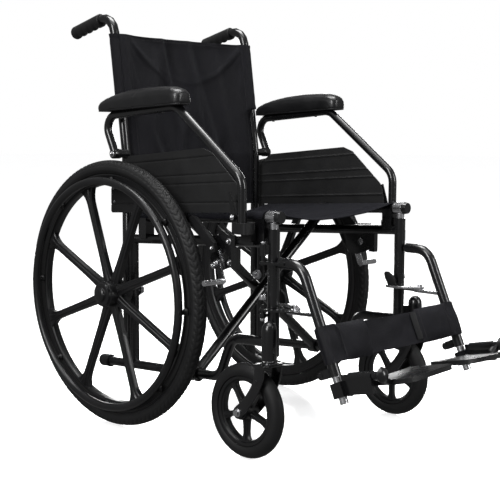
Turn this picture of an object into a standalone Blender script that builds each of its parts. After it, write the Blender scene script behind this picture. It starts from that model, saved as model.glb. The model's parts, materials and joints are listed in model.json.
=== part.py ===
"""A folding manual wheelchair: two tubular side frames joined by a cross brace, with seat rails that ride up
inside the front uprights as the chair folds. The chair faces -Y, its left side is +X, and the floor is Z = 0.
Every paired piece is modelled once, on the left side, and mirrored for the right side."""

import math

import bmesh
import bpy
from mathutils import Matrix, Vector

# Driving dimensions, in metres. Y is counted from the rear axle until AXLE_Y moves the whole chair.
AXLE_Y = 0.2290
CLEAR = 0.0004
FRAME_X = 0.215
TUBE_R = 0.011
UPRIGHT_R = 0.0125
UPRIGHT_Y = -0.445
CANE_Y = 0.024

WHEEL_R = 0.305
WHEEL_X = 0.277
TYRE_R = 0.0175
RIM_OUTER_R = 0.2752
RIM_INNER_R = 0.2490
RIM_HALF_WIDTH = 0.0125
SPOKES = 8
SPOKE_PHASE = math.radians(20)
HANDRIM_R = 0.2585
HANDRIM_X = 0.3090
HANDRIM_TUBE_R = 0.0090
HUB_R = 0.030
AXLE_R = 0.006

CASTER_X = 0.2505
CASTER_Y = -0.467
CASTER_TRAIL = 0.062
CASTER_R = 0.1
CASTER_TYRE_R = 0.0165
CASTER_SPOKES = 5
BARREL_R = 0.016
BARREL_Z = (0.215, 0.280)
STEM_R = 0.0065

RAIL_FRONT_Y = -0.458
RAIL_REAR_Y = -0.008
RAIL_Z = 0.488
RAIL_SLOPE = -0.052
POST_R = 0.0096
POST_FOOT_Z = 0.256
UPRIGHT_TOP_Z = 0.478

BRACE_Y = -0.199
BRACE_GAP = 0.0262
BRACE_R = 0.0118
BRACE_FOOT_Z = 0.1413
BRACE_TOP_Z = 0.4880
SLEEVE_R = 0.0165
SLEEVE_BORE_R = 0.0130
SLEEVE_HALF = 0.0115

ARM_X = 0.254
ARM_R = 0.0095
ARM_PIVOT = (0.020, 0.624)
ARM_POST_Y = -0.3925
ARM_FOOT_Z = 0.4740
LEG_X = 0.2165
LEG_LEAN = math.radians(23.8)
LEG_ORIGIN = Vector((LEG_X, -0.584, 0.269))
LEG_TUBE_R = 0.0088
HANGER_R = 0.0112
HINGE_PIN = (0.238, -0.436)
PLATE_RISE = math.radians(12)
PLATE_TILT = math.radians(2)
FLIP_X = 0.2120
FLIP_UP = 0.0180


def lower_rail_z(y):
    return 0.130 - 0.057 * y


def side_tube_z(y):
    return 0.4275 - 0.0516 * y


def rail_z(y):
    return RAIL_Z + RAIL_SLOPE * (y - BRACE_Y)


def clear_scene():
    for item in list(bpy.data.objects):
        bpy.data.objects.remove(item, do_unlink=True)


def new_collection(name):
    collection = bpy.data.collections.new(name)
    bpy.context.scene.collection.children.link(collection)
    return collection


def material(name, colour, roughness, metallic=0.0):
    made = bpy.data.materials.new(name)
    made.use_nodes = True
    shader = made.node_tree.nodes["Principled BSDF"]
    shader.inputs["Base Color"].default_value = (*colour, 1.0)
    shader.inputs["Roughness"].default_value = roughness
    shader.inputs["Metallic"].default_value = metallic
    return made


clear_scene()
CHAIR = new_collection("wheelchair")
WORKSHOP = new_collection("workshop")

PAINT = material("gloss_black_paint", (0.012, 0.012, 0.014), 0.22)
CHROME = material("chrome", (0.72, 0.72, 0.74), 0.14, 1.0)
PLASTIC = material("dark_grey_plastic", (0.035, 0.035, 0.037), 0.55)
MAG = material("black_nylon_wheel", (0.018, 0.018, 0.019), 0.42)
RUBBER = material("soft_rubber", (0.030, 0.030, 0.031), 0.72)
TYRE = material("tyre_rubber", (0.024, 0.024, 0.025), 0.85)
NYLON = material("black_nylon_cloth", (0.016, 0.016, 0.018), 0.90)
VINYL = material("arm_pad_vinyl", (0.040, 0.040, 0.042), 0.50)


def add(name, mesh):
    made = bpy.data.objects.new(name, mesh)
    WORKSHOP.objects.link(made)
    return made


def baked(source):
    """A plain mesh object with the evaluated shape of source, in world space; source is removed."""
    graph = bpy.context.evaluated_depsgraph_get()
    mesh = bpy.data.meshes.new_from_object(source.evaluated_get(graph))
    mesh.transform(source.matrix_world)
    shape = bmesh.new()
    shape.from_mesh(mesh)
    bmesh.ops.remove_doubles(shape, verts=shape.verts, dist=1e-6)
    bmesh.ops.recalc_face_normals(shape, faces=shape.faces)
    shape.to_mesh(mesh)
    shape.free()
    bpy.data.objects.remove(source, do_unlink=True)
    return add("shape", mesh)


def from_bmesh(shape, matrix):
    mesh = bpy.data.meshes.new("shape")
    shape.to_mesh(mesh)
    shape.free()
    mesh.transform(matrix)
    return add("shape", mesh)


def along(start, end):
    """Matrix that puts local Z along the line from start to end, with its middle at the origin."""
    start, end = Vector(start), Vector(end)
    turn = (end - start).to_track_quat("Z", "Y").to_matrix().to_4x4()
    return Matrix.Translation((start + end) / 2) @ turn


def cylinder(start, end, radius, sides=16, end_radius=None):
    shape = bmesh.new()
    bmesh.ops.create_cone(
        shape,
        cap_ends=True,
        segments=sides,
        radius1=radius,
        radius2=radius if end_radius is None else end_radius,
        depth=(Vector(end) - Vector(start)).length,
    )
    return from_bmesh(shape, along(start, end))


def box(centre, size, turn=None):
    shape = bmesh.new()
    bmesh.ops.create_cube(shape, size=1.0)
    matrix = Matrix.Translation(centre) @ (turn or Matrix.Identity(4)) @ Matrix.Diagonal((*size, 1.0))
    return from_bmesh(shape, matrix)


def rounded(points, radius, steps=4):
    """The path through points, with each inner corner replaced by an arc of about the given radius."""
    points = [Vector(point) for point in points]
    path = [points[0]]
    for before, corner, after in zip(points, points[1:], points[2:]):
        into = (before - corner).normalized()
        out = (after - corner).normalized()
        half = into.angle(out) / 2
        reach = min(radius / math.tan(half), (before - corner).length / 2, (after - corner).length / 2)
        centre = corner + (into + out).normalized() * (reach / math.cos(half))
        first = corner + into * reach - centre
        last = corner + out * reach - centre
        for step in range(steps + 1):
            path.append(centre + first.slerp(last, step / steps) * first.length)
    path.append(points[-1])
    return path


def tube(points, radius, sides=12):
    curve = bpy.data.curves.new("shape", "CURVE")
    curve.dimensions = "3D"
    curve.bevel_depth = radius
    curve.bevel_resolution = (sides - 4) // 2
    curve.use_fill_caps = True
    line = curve.splines.new("POLY")
    line.points.add(len(points) - 1)
    for point, place in zip(line.points, points):
        point.co = (*place, 1.0)
    return baked(add("shape", curve))


def plate(outlines, thickness, matrix):
    """A flat plate; the first outline is its edge and any others are its holes."""
    curve = bpy.data.curves.new("shape", "CURVE")
    curve.dimensions = "2D"
    curve.fill_mode = "BOTH"
    curve.extrude = thickness / 2
    for outline in outlines:
        line = curve.splines.new("POLY")
        line.points.add(len(outline) - 1)
        line.use_cyclic_u = True
        for point, place in zip(line.points, outline):
            point.co = (place[0], place[1], 0.0, 1.0)
    made = add("shape", curve)
    made.matrix_world = matrix
    bpy.context.view_layer.update()
    return baked(made)


def side_plate(outline, inner_x, outer_x):
    """A plate that stands in the YZ plane between two X positions; its outline is (y, z) points."""
    stand = Matrix(((0, 0, 1, 0), (1, 0, 0, 0), (0, 1, 0, 0), (0, 0, 0, 1)))
    middle = Matrix.Translation(((inner_x + outer_x) / 2, 0, 0))
    return plate([outline], outer_x - inner_x, middle @ stand)


def level_plate(outline, low_z, high_z):
    return plate([outline], high_z - low_z, Matrix.Translation((0, 0, (low_z + high_z) / 2)))


def turned(profile, matrix, steps=24, ring=False):
    """A profile of (radius, height) points, top to bottom on the outer side, turned about local Z."""
    mesh = bpy.data.meshes.new("shape")
    edges = [(i, i + 1) for i in range(len(profile) - 1)]
    if ring:
        edges.append((len(profile) - 1, 0))
    mesh.from_pydata([(radius, 0.0, height) for radius, height in profile], edges, [])
    made = add("shape", mesh)
    screw = made.modifiers.new("turn", "SCREW")
    screw.steps = steps
    screw.render_steps = steps
    screw.use_merge_vertices = True
    screw.merge_threshold = 0.00005
    made.matrix_world = matrix
    bpy.context.view_layer.update()
    return baked(made)


def spin_axis(x, y, z):
    """Local Z points outward along +X, for a wheel centred at the given point."""
    return Matrix.Translation((x, y, z)) @ Matrix.Rotation(math.pi / 2, 4, "Y")


def circle(radius, sides, centre=(0.0, 0.0), start=0.0, sweep=2 * math.pi, closed=True):
    count = sides if closed else sides + 1
    angles = [start + sweep * i / sides for i in range(count)]
    return [(centre[0] + radius * math.cos(a), centre[1] + radius * math.sin(a)) for a in angles]


def combined(base, others, operation):
    for other in others:
        change = base.modifiers.new("change", "BOOLEAN")
        change.operation = operation
        change.object = other
        change.solver = "EXACT"
    bpy.context.view_layer.update()
    made = baked(base)
    for other in others:
        bpy.data.objects.remove(other, do_unlink=True)
    return made


def joined(base, *others):
    return combined(base, others, "UNION")


def cut(base, *others):
    return combined(base, others, "DIFFERENCE")


def finished(name, shape, look, origin):
    mesh = shape.data
    mesh.name = name
    mesh.transform(Matrix.Translation(-Vector(origin)))
    mesh.materials.clear()
    mesh.materials.append(look)
    mesh.shade_smooth()
    mesh.set_sharp_from_angle(angle=math.radians(35))
    shape.name = name
    WORKSHOP.objects.unlink(shape)
    CHAIR.objects.link(shape)
    shape.location = origin
    shape.parent = CHAIR_EMPTY
    return shape


def pair(name, shape, look, origin):
    """Finish the left piece and its mirror image on the right."""
    twin = add("shape", shape.data.copy())
    twin.data.transform(Matrix.Scale(-1, 4, (1, 0, 0)))
    twin.data.flip_normals()
    finished(name + "_left", shape, look, origin)
    finished(name + "_right", twin, look, (-origin[0], origin[1], origin[2]))


CHAIR_EMPTY = bpy.data.objects.new("chair", None)
CHAIR.objects.link(CHAIR_EMPTY)
CHAIR_EMPTY.location = (0, AXLE_Y, 0)


# ---- side frame -------------------------------------------------------------------------------------------

CANE_PATH = [
    (FRAME_X, CANE_Y, lower_rail_z(CANE_Y)),
    (FRAME_X, CANE_Y, 0.620),
    (FRAME_X, 0.0700, 0.9460),
    (FRAME_X, 0.2060, 0.9130),
]


def saddle(y):
    block = box((FRAME_X, y, (side_tube_z(y) + rail_z(y)) / 2 + 0.004), (0.025, 0.026, 0.056))
    groove = tube([(FRAME_X, y - 0.03, rail_z(y - 0.03)), (FRAME_X, y + 0.03, rail_z(y + 0.03))], TUBE_R + CLEAR)
    lid = box((FRAME_X, y, rail_z(y) + 0.0160), (0.06, 0.06, 0.035))
    return cut(block, groove, lid)


def hinge_stub(low_z, high_z, pin_z):
    x, y = HINGE_PIN
    stub = cylinder((x, y, low_z), (x, y, high_z), 0.0068, 12)
    web = box(((x + FRAME_X) / 2, (y + UPRIGHT_Y) / 2, (low_z + high_z) / 2),
              (0.018, 0.007, high_z - low_z - 0.004), Matrix.Rotation(math.radians(21), 4, "Z"))
    pin = cylinder((x, y, (low_z + high_z) / 2), (x, y, pin_z), 0.0035, 12)
    return joined(stub, web, pin)


def side_frame():
    cane = tube(rounded(CANE_PATH, 0.039), TUBE_R)
    upright = cylinder((FRAME_X, UPRIGHT_Y, 0.215), (FRAME_X, UPRIGHT_Y, UPRIGHT_TOP_Z), UPRIGHT_R, 16)
    side = tube([(FRAME_X, CANE_Y, side_tube_z(CANE_Y)), (FRAME_X, UPRIGHT_Y, side_tube_z(UPRIGHT_Y))], TUBE_R)
    low = tube(rounded([
        (FRAME_X, UPRIGHT_Y, 0.2430),
        (FRAME_X, -0.3250, 0.2370),
        (FRAME_X, -0.2880, lower_rail_z(-0.288)),
        (FRAME_X, 0.1120, lower_rail_z(0.112)),
    ], 0.035), TUBE_R)
    axle_post = cylinder((FRAME_X, 0, lower_rail_z(0)), (FRAME_X, 0, side_tube_z(0)), 0.0115, 12)
    barrel = turned([
        (0.0, 0.2945), (0.0060, 0.2935), (0.0115, 0.2895), (0.0150, 0.2830), (BARREL_R, 0.2740),
        (BARREL_R, BARREL_Z[0]), (STEM_R + CLEAR, BARREL_Z[0]), (STEM_R + CLEAR, 0.2740), (0.0, 0.2740),
    ], Matrix.Translation((CASTER_X, CASTER_Y, 0)), 20)
    bridge_turn = Matrix.Rotation(math.atan2(CASTER_Y - UPRIGHT_Y, CASTER_X - FRAME_X), 4, "Z")
    bridge = box(((CASTER_X + FRAME_X) / 2, (CASTER_Y + UPRIGHT_Y) / 2, 0.247), (0.026, 0.010, 0.052), bridge_turn)
    arm_lug = cylinder((FRAME_X, *ARM_PIVOT), (0.2390, *ARM_PIVOT), 0.0095, 14)
    socket_arm = box((0.2305, ARM_POST_Y - 0.001, 0.4470), (0.022, 0.036, 0.0060))
    frame = joined(
        upright, cane, side, low, axle_post, barrel, bridge, arm_lug, socket_arm,
        saddle(-0.4160), saddle(-0.0450),
        hinge_stub(0.4240, 0.4480, 0.4040), hinge_stub(0.2960, 0.3060, 0.3240),
    )
    return cut(
        frame,
        cylinder((FRAME_X, UPRIGHT_Y, 0.250), (FRAME_X, UPRIGHT_Y, 0.500), POST_R + CLEAR, 16),
        cylinder((0.15, 0, WHEEL_R), (0.26, 0, WHEEL_R), AXLE_R + CLEAR, 12),
        cylinder((0.20, ARM_PIVOT[0], ARM_PIVOT[1]), (0.26, ARM_PIVOT[0], ARM_PIVOT[1]), 0.0040 + CLEAR, 12),
    )


def grip():
    """Rubber handle with finger waves, pushed over the end of the cane."""
    length = 0.108
    waves = [(0.0148 + 0.0011 * math.cos(2 * math.pi * 4.5 * i / 18), length * (1 - i / 18) * 0.90) for i in range(19)]
    profile = [(0.0, length), (0.0080, length - 0.001), (0.0130, length - 0.005)] + waves
    profile += [(TUBE_R + CLEAR, 0.0), (TUBE_R + CLEAR, length - 0.010), (0.0, length - 0.010)]
    back = (Vector(CANE_PATH[3]) - Vector(CANE_PATH[2])).normalized()
    start = Vector(CANE_PATH[3]) - back * (length - 0.012)
    turn = back.to_track_quat("Z", "Y").to_matrix().to_4x4()
    return turned(profile, Matrix.Translation(start) @ turn, 16)


def tip_cap():
    y = 0.0870
    back = Vector((0, 1, -0.057)).normalized()
    start = Vector((FRAME_X, y, lower_rail_z(y)))
    turn = back.to_track_quat("Z", "Y").to_matrix().to_4x4()
    profile = [
        (0.0, 0.0340), (0.0110, 0.0335), (0.0145, 0.0300), (0.0150, 0.0),
        (TUBE_R + CLEAR, 0.0), (TUBE_R + CLEAR, 0.0262), (0.0, 0.0262),
    ]
    return turned(profile, Matrix.Translation(start) @ turn, 16)


def arm_socket():
    """Plastic clamp that holds the foot of the armrest; its pocket is open at the top."""
    block = box((ARM_X - 0.001, ARM_POST_Y - 0.0005, 0.4782), (0.030, 0.043, 0.0236))
    edge = block.modifiers.new("edge", "BEVEL")
    edge.width = 0.0070
    edge.segments = 3
    edge.limit_method = "WEIGHT"
    upright_edges = block.data.attributes.new("bevel_weight_edge", "FLOAT", "EDGE")
    for index, side in enumerate(block.data.edges):
        run = block.data.vertices[side.vertices[0]].co - block.data.vertices[side.vertices[1]].co
        upright_edges.data[index].value = 1.0 if abs(run.z) > 0.9 * run.length else 0.0
    block = baked(block)
    foot = box((0.2370, ARM_POST_Y - 0.001, 0.4593), (0.016, 0.028, 0.0180))
    lug = box((ARM_X - 0.0050, -0.3710, 0.4950), (0.0120, 0.0140, 0.0220))
    floor_z = ARM_FOOT_Z - 0.0010
    seat_hole = cylinder((ARM_X, ARM_POST_Y, floor_z), (ARM_X, ARM_POST_Y, 0.520), ARM_R + 0.0008, 14)
    way_out = cylinder((ARM_X, ARM_POST_Y, floor_z), (ARM_X, ARM_POST_Y - 0.0190, 0.520), ARM_R + 0.0008, 14)
    pivot_hole = cylinder((ARM_X - 0.02, -0.3710, 0.5000), (ARM_X + 0.02, -0.3710, 0.5000), 0.0030 + CLEAR, 10)
    return cut(joined(block, foot, lug), seat_hole, way_out, pivot_hole)


def axle():
    bolt = cylinder((0.1950, 0, WHEEL_R), (0.3150, 0, WHEEL_R), AXLE_R, 12)
    nut = cylinder((0.1925, 0, WHEEL_R), (0.2030, 0, WHEEL_R), 0.0105, 6)
    spacer = cylinder((0.2270, 0, WHEEL_R), (0.2380, 0, WHEEL_R), 0.0090, 12)
    return joined(bolt, nut, spacer)


# ---- rear wheel -------------------------------------------------------------------------------------------

def spoke_outline():
    """Half width of a spoke against its distance from the hub: narrow in the middle, flared at both ends."""
    half = [(0.024, 0.0150), (0.060, 0.0125), (0.150, 0.0095), (0.215, 0.0105), (0.238, 0.0155), (0.252, 0.0240)]
    return [(r, w) for r, w in half] + [(r, -w) for r, w in reversed(half)]


def wheel():
    rim = turned([
        (RIM_OUTER_R - CLEAR, RIM_HALF_WIDTH), (RIM_OUTER_R - CLEAR, -RIM_HALF_WIDTH),
        (0.2560, -RIM_HALF_WIDTH), (RIM_INNER_R, -0.0080), (RIM_INNER_R, 0.0080), (0.2560, RIM_HALF_WIDTH),
    ], spin_axis(WHEEL_X, 0, WHEEL_R), 48, ring=True)
    cap_x = 0.3060
    hub = turned([
        (0.0, 0.3220), (0.0120, 0.3210), (0.0165, 0.3180), (0.0170, 0.3140), (0.0240, 0.3135), (0.0270, 0.3100),
        (0.0272, cap_x), (HUB_R, cap_x - 0.001), (HUB_R, 0.2560), (0.0260, 0.2400),
        (AXLE_R + CLEAR, 0.2400), (AXLE_R + CLEAR, 0.3160), (0.0, 0.3160),
    ], spin_axis(0, 0, WHEEL_R), 24)
    spokes = []
    for index in range(SPOKES):
        angle = SPOKE_PHASE + 2 * math.pi * index / SPOKES
        outline = []
        for along_spoke, across in spoke_outline():
            y = along_spoke * math.sin(angle) + across * math.cos(angle)
            z = along_spoke * math.cos(angle) - across * math.sin(angle)
            outline.append((y, WHEEL_R + z))
        spokes.append(side_plate(outline, WHEEL_X - 0.005, WHEEL_X + 0.011))
    return joined(rim, hub, *spokes)


def flat_seated_ring(radius, minor, seat_radius, sides):
    """Section of a tyre: a circle whose inner part is cut flat where it sits on the rim."""
    section = circle(minor, sides, (radius, 0.0), math.pi / 2 - math.pi / sides, -2 * math.pi)
    return [(max(r, seat_radius), h) for r, h in section]


def tyre():
    return turned(flat_seated_ring(WHEEL_R - TYRE_R, TYRE_R, RIM_OUTER_R, 10),
                  spin_axis(WHEEL_X, 0, WHEEL_R), 48, ring=True)


def handrim():
    hoop = turned(circle(HANDRIM_TUBE_R, 8, (HANDRIM_R, 0.0), math.pi / 2, -2 * math.pi),
                  spin_axis(HANDRIM_X, 0, WHEEL_R), 40, ring=True)
    stubs = []
    for index in range(SPOKES):
        angle = SPOKE_PHASE + math.pi / SPOKES + 2 * math.pi * index / SPOKES
        y = (HANDRIM_R + 0.0020) * math.sin(angle)
        z = WHEEL_R + (HANDRIM_R + 0.0020) * math.cos(angle)
        rim_face = WHEEL_X + RIM_HALF_WIDTH + CLEAR
        stubs.append(cylinder((rim_face, y, z), (HANDRIM_X, y, z), 0.0055, 8))
    return joined(hoop, *stubs)


# ---- caster -----------------------------------------------------------------------------------------------

CASTER_AXLE = (CASTER_Y + CASTER_TRAIL, CASTER_R)


def caster_fork():
    stem = cylinder((CASTER_X, CASTER_Y, 0.204), (CASTER_X, CASTER_Y, 0.270), STEM_R, 12)
    nut = cylinder((CASTER_X, CASTER_Y, 0.2080), (CASTER_X, CASTER_Y, 0.2145), 0.0125, 12)
    crown = box((CASTER_X, CASTER_Y + 0.004, 0.2055), (0.058, 0.040, 0.0050))
    axle_y, axle_z = CASTER_AXLE
    leg_outline = [
        (CASTER_Y - 0.016, 0.2070), (CASTER_Y - 0.016, 0.1860), (CASTER_Y + 0.004, 0.1480),
        (axle_y - 0.0130, axle_z + 0.0100), (axle_y - 0.0150, axle_z), (axle_y - 0.0110, axle_z - 0.0110),
        (axle_y, axle_z - 0.0150), (axle_y + 0.0110, axle_z - 0.0110), (axle_y + 0.0150, axle_z),
        (axle_y + 0.0120, axle_z + 0.0120), (CASTER_Y + 0.044, 0.1480), (CASTER_Y + 0.024, 0.1900),
        (CASTER_Y + 0.024, 0.2070),
    ]
    inner = side_plate(leg_outline, CASTER_X - 0.0290, CASTER_X - 0.0240)
    outer = side_plate(leg_outline, CASTER_X + 0.0240, CASTER_X + 0.0290)
    bore = cylinder((CASTER_X - 0.05, axle_y, axle_z), (CASTER_X + 0.05, axle_y, axle_z), 0.0040 + CLEAR, 12)
    return cut(joined(stem, nut, crown, inner, outer), bore)


def caster_axle():
    y, z = CASTER_AXLE
    bolt = cylinder((CASTER_X - 0.032, y, z), (CASTER_X + 0.032, y, z), 0.0040, 12)
    head = cylinder((CASTER_X + 0.0294, y, z), (CASTER_X + 0.0350, y, z), 0.0072, 6)
    nut = cylinder((CASTER_X - 0.0350, y, z), (CASTER_X - 0.0294, y, z), 0.0072, 6)
    return joined(bolt, head, nut)


def caster_wheel():
    y, z = CASTER_AXLE
    rim = turned([(0.0735, 0.0120), (0.0735, -0.0120), (0.0660, -0.0120), (0.0620, -0.0060),
                  (0.0620, 0.0060), (0.0660, 0.0120)], spin_axis(CASTER_X, y, z), 30, ring=True)
    hub = turned([(0.0160, 0.0220), (0.0180, 0.0120), (0.0180, -0.0120), (0.0160, -0.0220),
                  (0.0040 + CLEAR, -0.0220), (0.0040 + CLEAR, 0.0220)], spin_axis(CASTER_X, y, z), 20, ring=True)
    spokes = []
    for index in range(CASTER_SPOKES):
        angle = 2 * math.pi * (index + 0.5) / CASTER_SPOKES
        outline = []
        for reach, across in [(0.012, 0.009), (0.050, 0.006), (0.064, 0.012), (0.064, -0.012), (0.050, -0.006),
                              (0.012, -0.009)]:
            outline.append((y + reach * math.sin(angle) + across * math.cos(angle),
                            z + reach * math.cos(angle) - across * math.sin(angle)))
        spokes.append(side_plate(outline, CASTER_X - 0.006, CASTER_X + 0.006))
    return joined(rim, hub, *spokes)


def caster_tyre():
    section = flat_seated_ring(CASTER_R - CASTER_TYRE_R, CASTER_TYRE_R, 0.0739, 10)
    return turned(section, spin_axis(CASTER_X, *CASTER_AXLE), 36, ring=True)


# ---- armrest ----------------------------------------------------------------------------------------------

ARM_PATH = [
    (ARM_X, ARM_PIVOT[0] - 0.001, ARM_PIVOT[1] + 0.004), (ARM_X, 0.0590, 0.7095), (ARM_X, -0.1950, 0.7286),
    (ARM_X, ARM_POST_Y, 0.5780), (ARM_X, ARM_POST_Y, ARM_FOOT_Z),
]


def arm_tube():
    y, z = ARM_PIVOT
    loop = tube(rounded(ARM_PATH, 0.045), ARM_R)
    eye = cylinder((0.2394, y, z), (ARM_X + 0.0060, y, z), 0.0115, 14)
    bolt = cylinder((FRAME_X - 0.004, y, z), (ARM_X, y, z), 0.0040, 12)
    return joined(loop, eye, bolt)


def arm_pad():
    """Padded rest, domed along its length, with a round nose; its underside is grooved for the tube."""
    front, back = -0.2310, 0.0490
    base_front, base_back = 0.7340, 0.7214
    depths = [(0.0, 0.0225), (0.05, 0.0305), (0.12, 0.0365), (0.22, 0.0405), (0.40, 0.0420), (0.65, 0.0395),
              (0.80, 0.0345), (0.90, 0.0285), (0.96, 0.0220), (1.0, 0.0155)]
    profile = []
    for share, depth in depths:
        y = front + (back - front) * share
        profile.append((y, base_front + (base_back - base_front) * share + depth))
    outline = [(front, base_front), (back, base_back)] + list(reversed(profile))
    pad = side_plate(outline, 0.2325, 0.2855)
    middle, half = 0.2590, 0.0265
    nose = [(middle + half * math.cos(a), front + half - half * math.sin(a)) for a in
            [math.pi * step / 10 for step in range(11)]]
    plan = nose + [(0.2325, back - 0.010), (0.2385, back), (0.2795, back), (0.2855, back - 0.010)]
    keep = level_plate(plan, 0.700, 0.800)
    pad = combined(pad, [keep], "INTERSECT")
    return cut(pad, tube(rounded(ARM_PATH, 0.045), ARM_R + CLEAR))


SKIRT_X = (0.2330, 0.2365)


def skirt_guard():
    outline = [
        (0.0530, 0.4860), (0.0570, 0.4900), (0.0560, 0.5600), (0.0050, 0.6060), (-0.0120, 0.6190),
        (-0.2560, 0.6400), (-0.2850, 0.6300),
        (-0.3700, 0.5560), (-0.3780, 0.5400), (-0.3820, 0.5090), (0.0, 0.4930),
    ]
    panel = side_plate(outline, *SKIRT_X)
    ribs = []
    for z in (0.530, 0.560, 0.590):
        ribs.append(box((SKIRT_X[1] + 0.0002, -0.150, z - 0.0005), (0.0018, 0.330, 0.0180), Matrix.Rotation(-0.05, 4, "X")))
    clips = [box((SKIRT_X[1] + 0.0015, y, z), (0.0050, 0.016, 0.010)) for y, z in ((-0.3790, 0.530),)]
    return joined(panel, *ribs, *clips)


def arm_latch():
    """Spring blade beside the arm's front post, thumbed to free the post from its socket."""
    blade = side_plate([(-0.3660, 0.4960), (-0.3740, 0.4940), (-0.3790, 0.5000), (-0.3620, 0.5530), (-0.3560, 0.5510)],
                       ARM_X + 0.0020, ARM_X + 0.0050)
    pivot = cylinder((ARM_X - 0.0090, -0.3710, 0.5000), (ARM_X + 0.0060, -0.3710, 0.5000), 0.0030, 10)
    head = cylinder((ARM_X + 0.0045, -0.3710, 0.5000), (ARM_X + 0.0085, -0.3710, 0.5000), 0.0048, 10)
    return joined(blade, pivot, head)


# ---- wheel lock -------------------------------------------------------------------------------------------

LEVER_PIVOT = (-0.3000, 0.4300)
SHOE_PIVOT = (-0.3000, 0.3980)
SHOE = (-0.3160, 0.3600)


def brake_bracket():
    outline = [(-0.3480, 0.4590), (-0.2960, 0.4560), (-0.2800, 0.4350), (-0.2740, 0.4050), (-0.2840, 0.3840),
               (-0.3100, 0.3820), (-0.3480, 0.3960)]
    window = circle(0.0085, 10, (-0.3190, 0.4130))
    stand = Matrix(((0, 0, 1, 0), (1, 0, 0, 0), (0, 1, 0, 0), (0, 0, 0, 1)))
    panel = plate([outline, window], 0.0040, Matrix.Translation((0.2290, 0, 0)) @ stand)
    clamp = box((0.2335, -0.3540, 0.4130), (0.0130, 0.0160, 0.0440))
    pins = [cylinder((0.2290, *at), (0.2500, *at), 0.0030, 10) for at in (LEVER_PIVOT,)]
    pins.append(cylinder((0.2290, *SHOE_PIVOT), (0.2390, *SHOE_PIVOT), 0.0030, 10))
    bolts = [cylinder((0.2300, y, z), (0.2350, y, z), 0.0055, 6) for y, z in ((-0.3300, 0.4450), (-0.3330, 0.4000))]
    return joined(panel, clamp, *pins, *bolts)


def brake_lever():
    y, z = LEVER_PIVOT
    arm = [(y - 0.010, z - 0.006), (y + 0.002, z - 0.012), (y + 0.014, z + 0.002), (y + 0.067, z + 0.049),
           (y + 0.072, z + 0.060), (y + 0.063, z + 0.066), (y + 0.051, z + 0.062), (y - 0.006, z + 0.012)]
    lever = side_plate(arm, 0.2425, 0.2520)
    hole = cylinder((0.23, y, z), (0.26, y, z), 0.0030 + CLEAR, 10)
    return cut(lever, hole)


def brake_shoe():
    y, z = SHOE_PIVOT
    shoe_y, shoe_z = SHOE
    link = side_plate([(y - 0.008, z + 0.004), (y, z + 0.010), (y + 0.008, z + 0.002), (shoe_y + 0.008, shoe_z - 0.002),
                       (shoe_y, shoe_z - 0.008), (shoe_y - 0.009, shoe_z - 0.001)], 0.2325, 0.2365)
    rod = cylinder((0.2340, shoe_y, shoe_z), (0.2900, shoe_y, shoe_z), 0.0060, 12)
    hole = cylinder((0.22, y, z), (0.25, y, z), 0.0030 + CLEAR, 10)
    return cut(joined(link, rod), hole)


# ---- hanger and footrest ----------------------------------------------------------------------------------

LEG_DOWN = Vector((0, -math.sin(LEG_LEAN), -math.cos(LEG_LEAN)))
LEG_FRONT = Vector((0, -math.cos(LEG_LEAN), math.sin(LEG_LEAN)))
TOE = Vector((0, -math.cos(PLATE_RISE), math.sin(PLATE_RISE)))
UPWARD = Vector((0, math.sin(PLATE_RISE), math.cos(PLATE_RISE)))
CLAMP_Z = 0.180


def on_leg(z):
    """The point on the leg tube's axis at height z."""
    return LEG_ORIGIN + LEG_DOWN * ((LEG_ORIGIN.z - z) / math.cos(LEG_LEAN))


def basis(second, third, origin):
    """Matrix whose local axes are X, second and third."""
    columns = Matrix(((1, 0, 0), second, third)).transposed()
    return Matrix.Translation(origin) @ columns.to_4x4()


def leg_piece(outline, low, high):
    """A plate across the leg tube: the outline is (x, forward), and low and high count up from the clamp."""
    middle = on_leg(CLAMP_Z) - LEG_DOWN * ((low + high) / 2)
    return plate([outline], high - low, basis(LEG_FRONT, LEG_DOWN, (0, middle.y, middle.z)))


def foot_piece(outline, back, front):
    """A plate square to the footplate's hinge: the outline is (x, up), and back and front count forward."""
    middle = on_leg(CLAMP_Z) + TOE * ((back + front) / 2)
    return plate([outline], front - back, basis(UPWARD, TOE, (0, middle.y, middle.z)))


def hinge_point(forward):
    at = on_leg(CLAMP_Z) + TOE * forward + UPWARD * FLIP_UP
    return (FLIP_X, at.y, at.z)


def hinge_rod(back, front, radius, sides=12):
    return cylinder(hinge_point(back), hinge_point(front), radius, sides)


def rectangle(x0, y0, x1, y1):
    return [(x0, y0), (x1, y0), (x1, y1), (x0, y1)]


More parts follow.
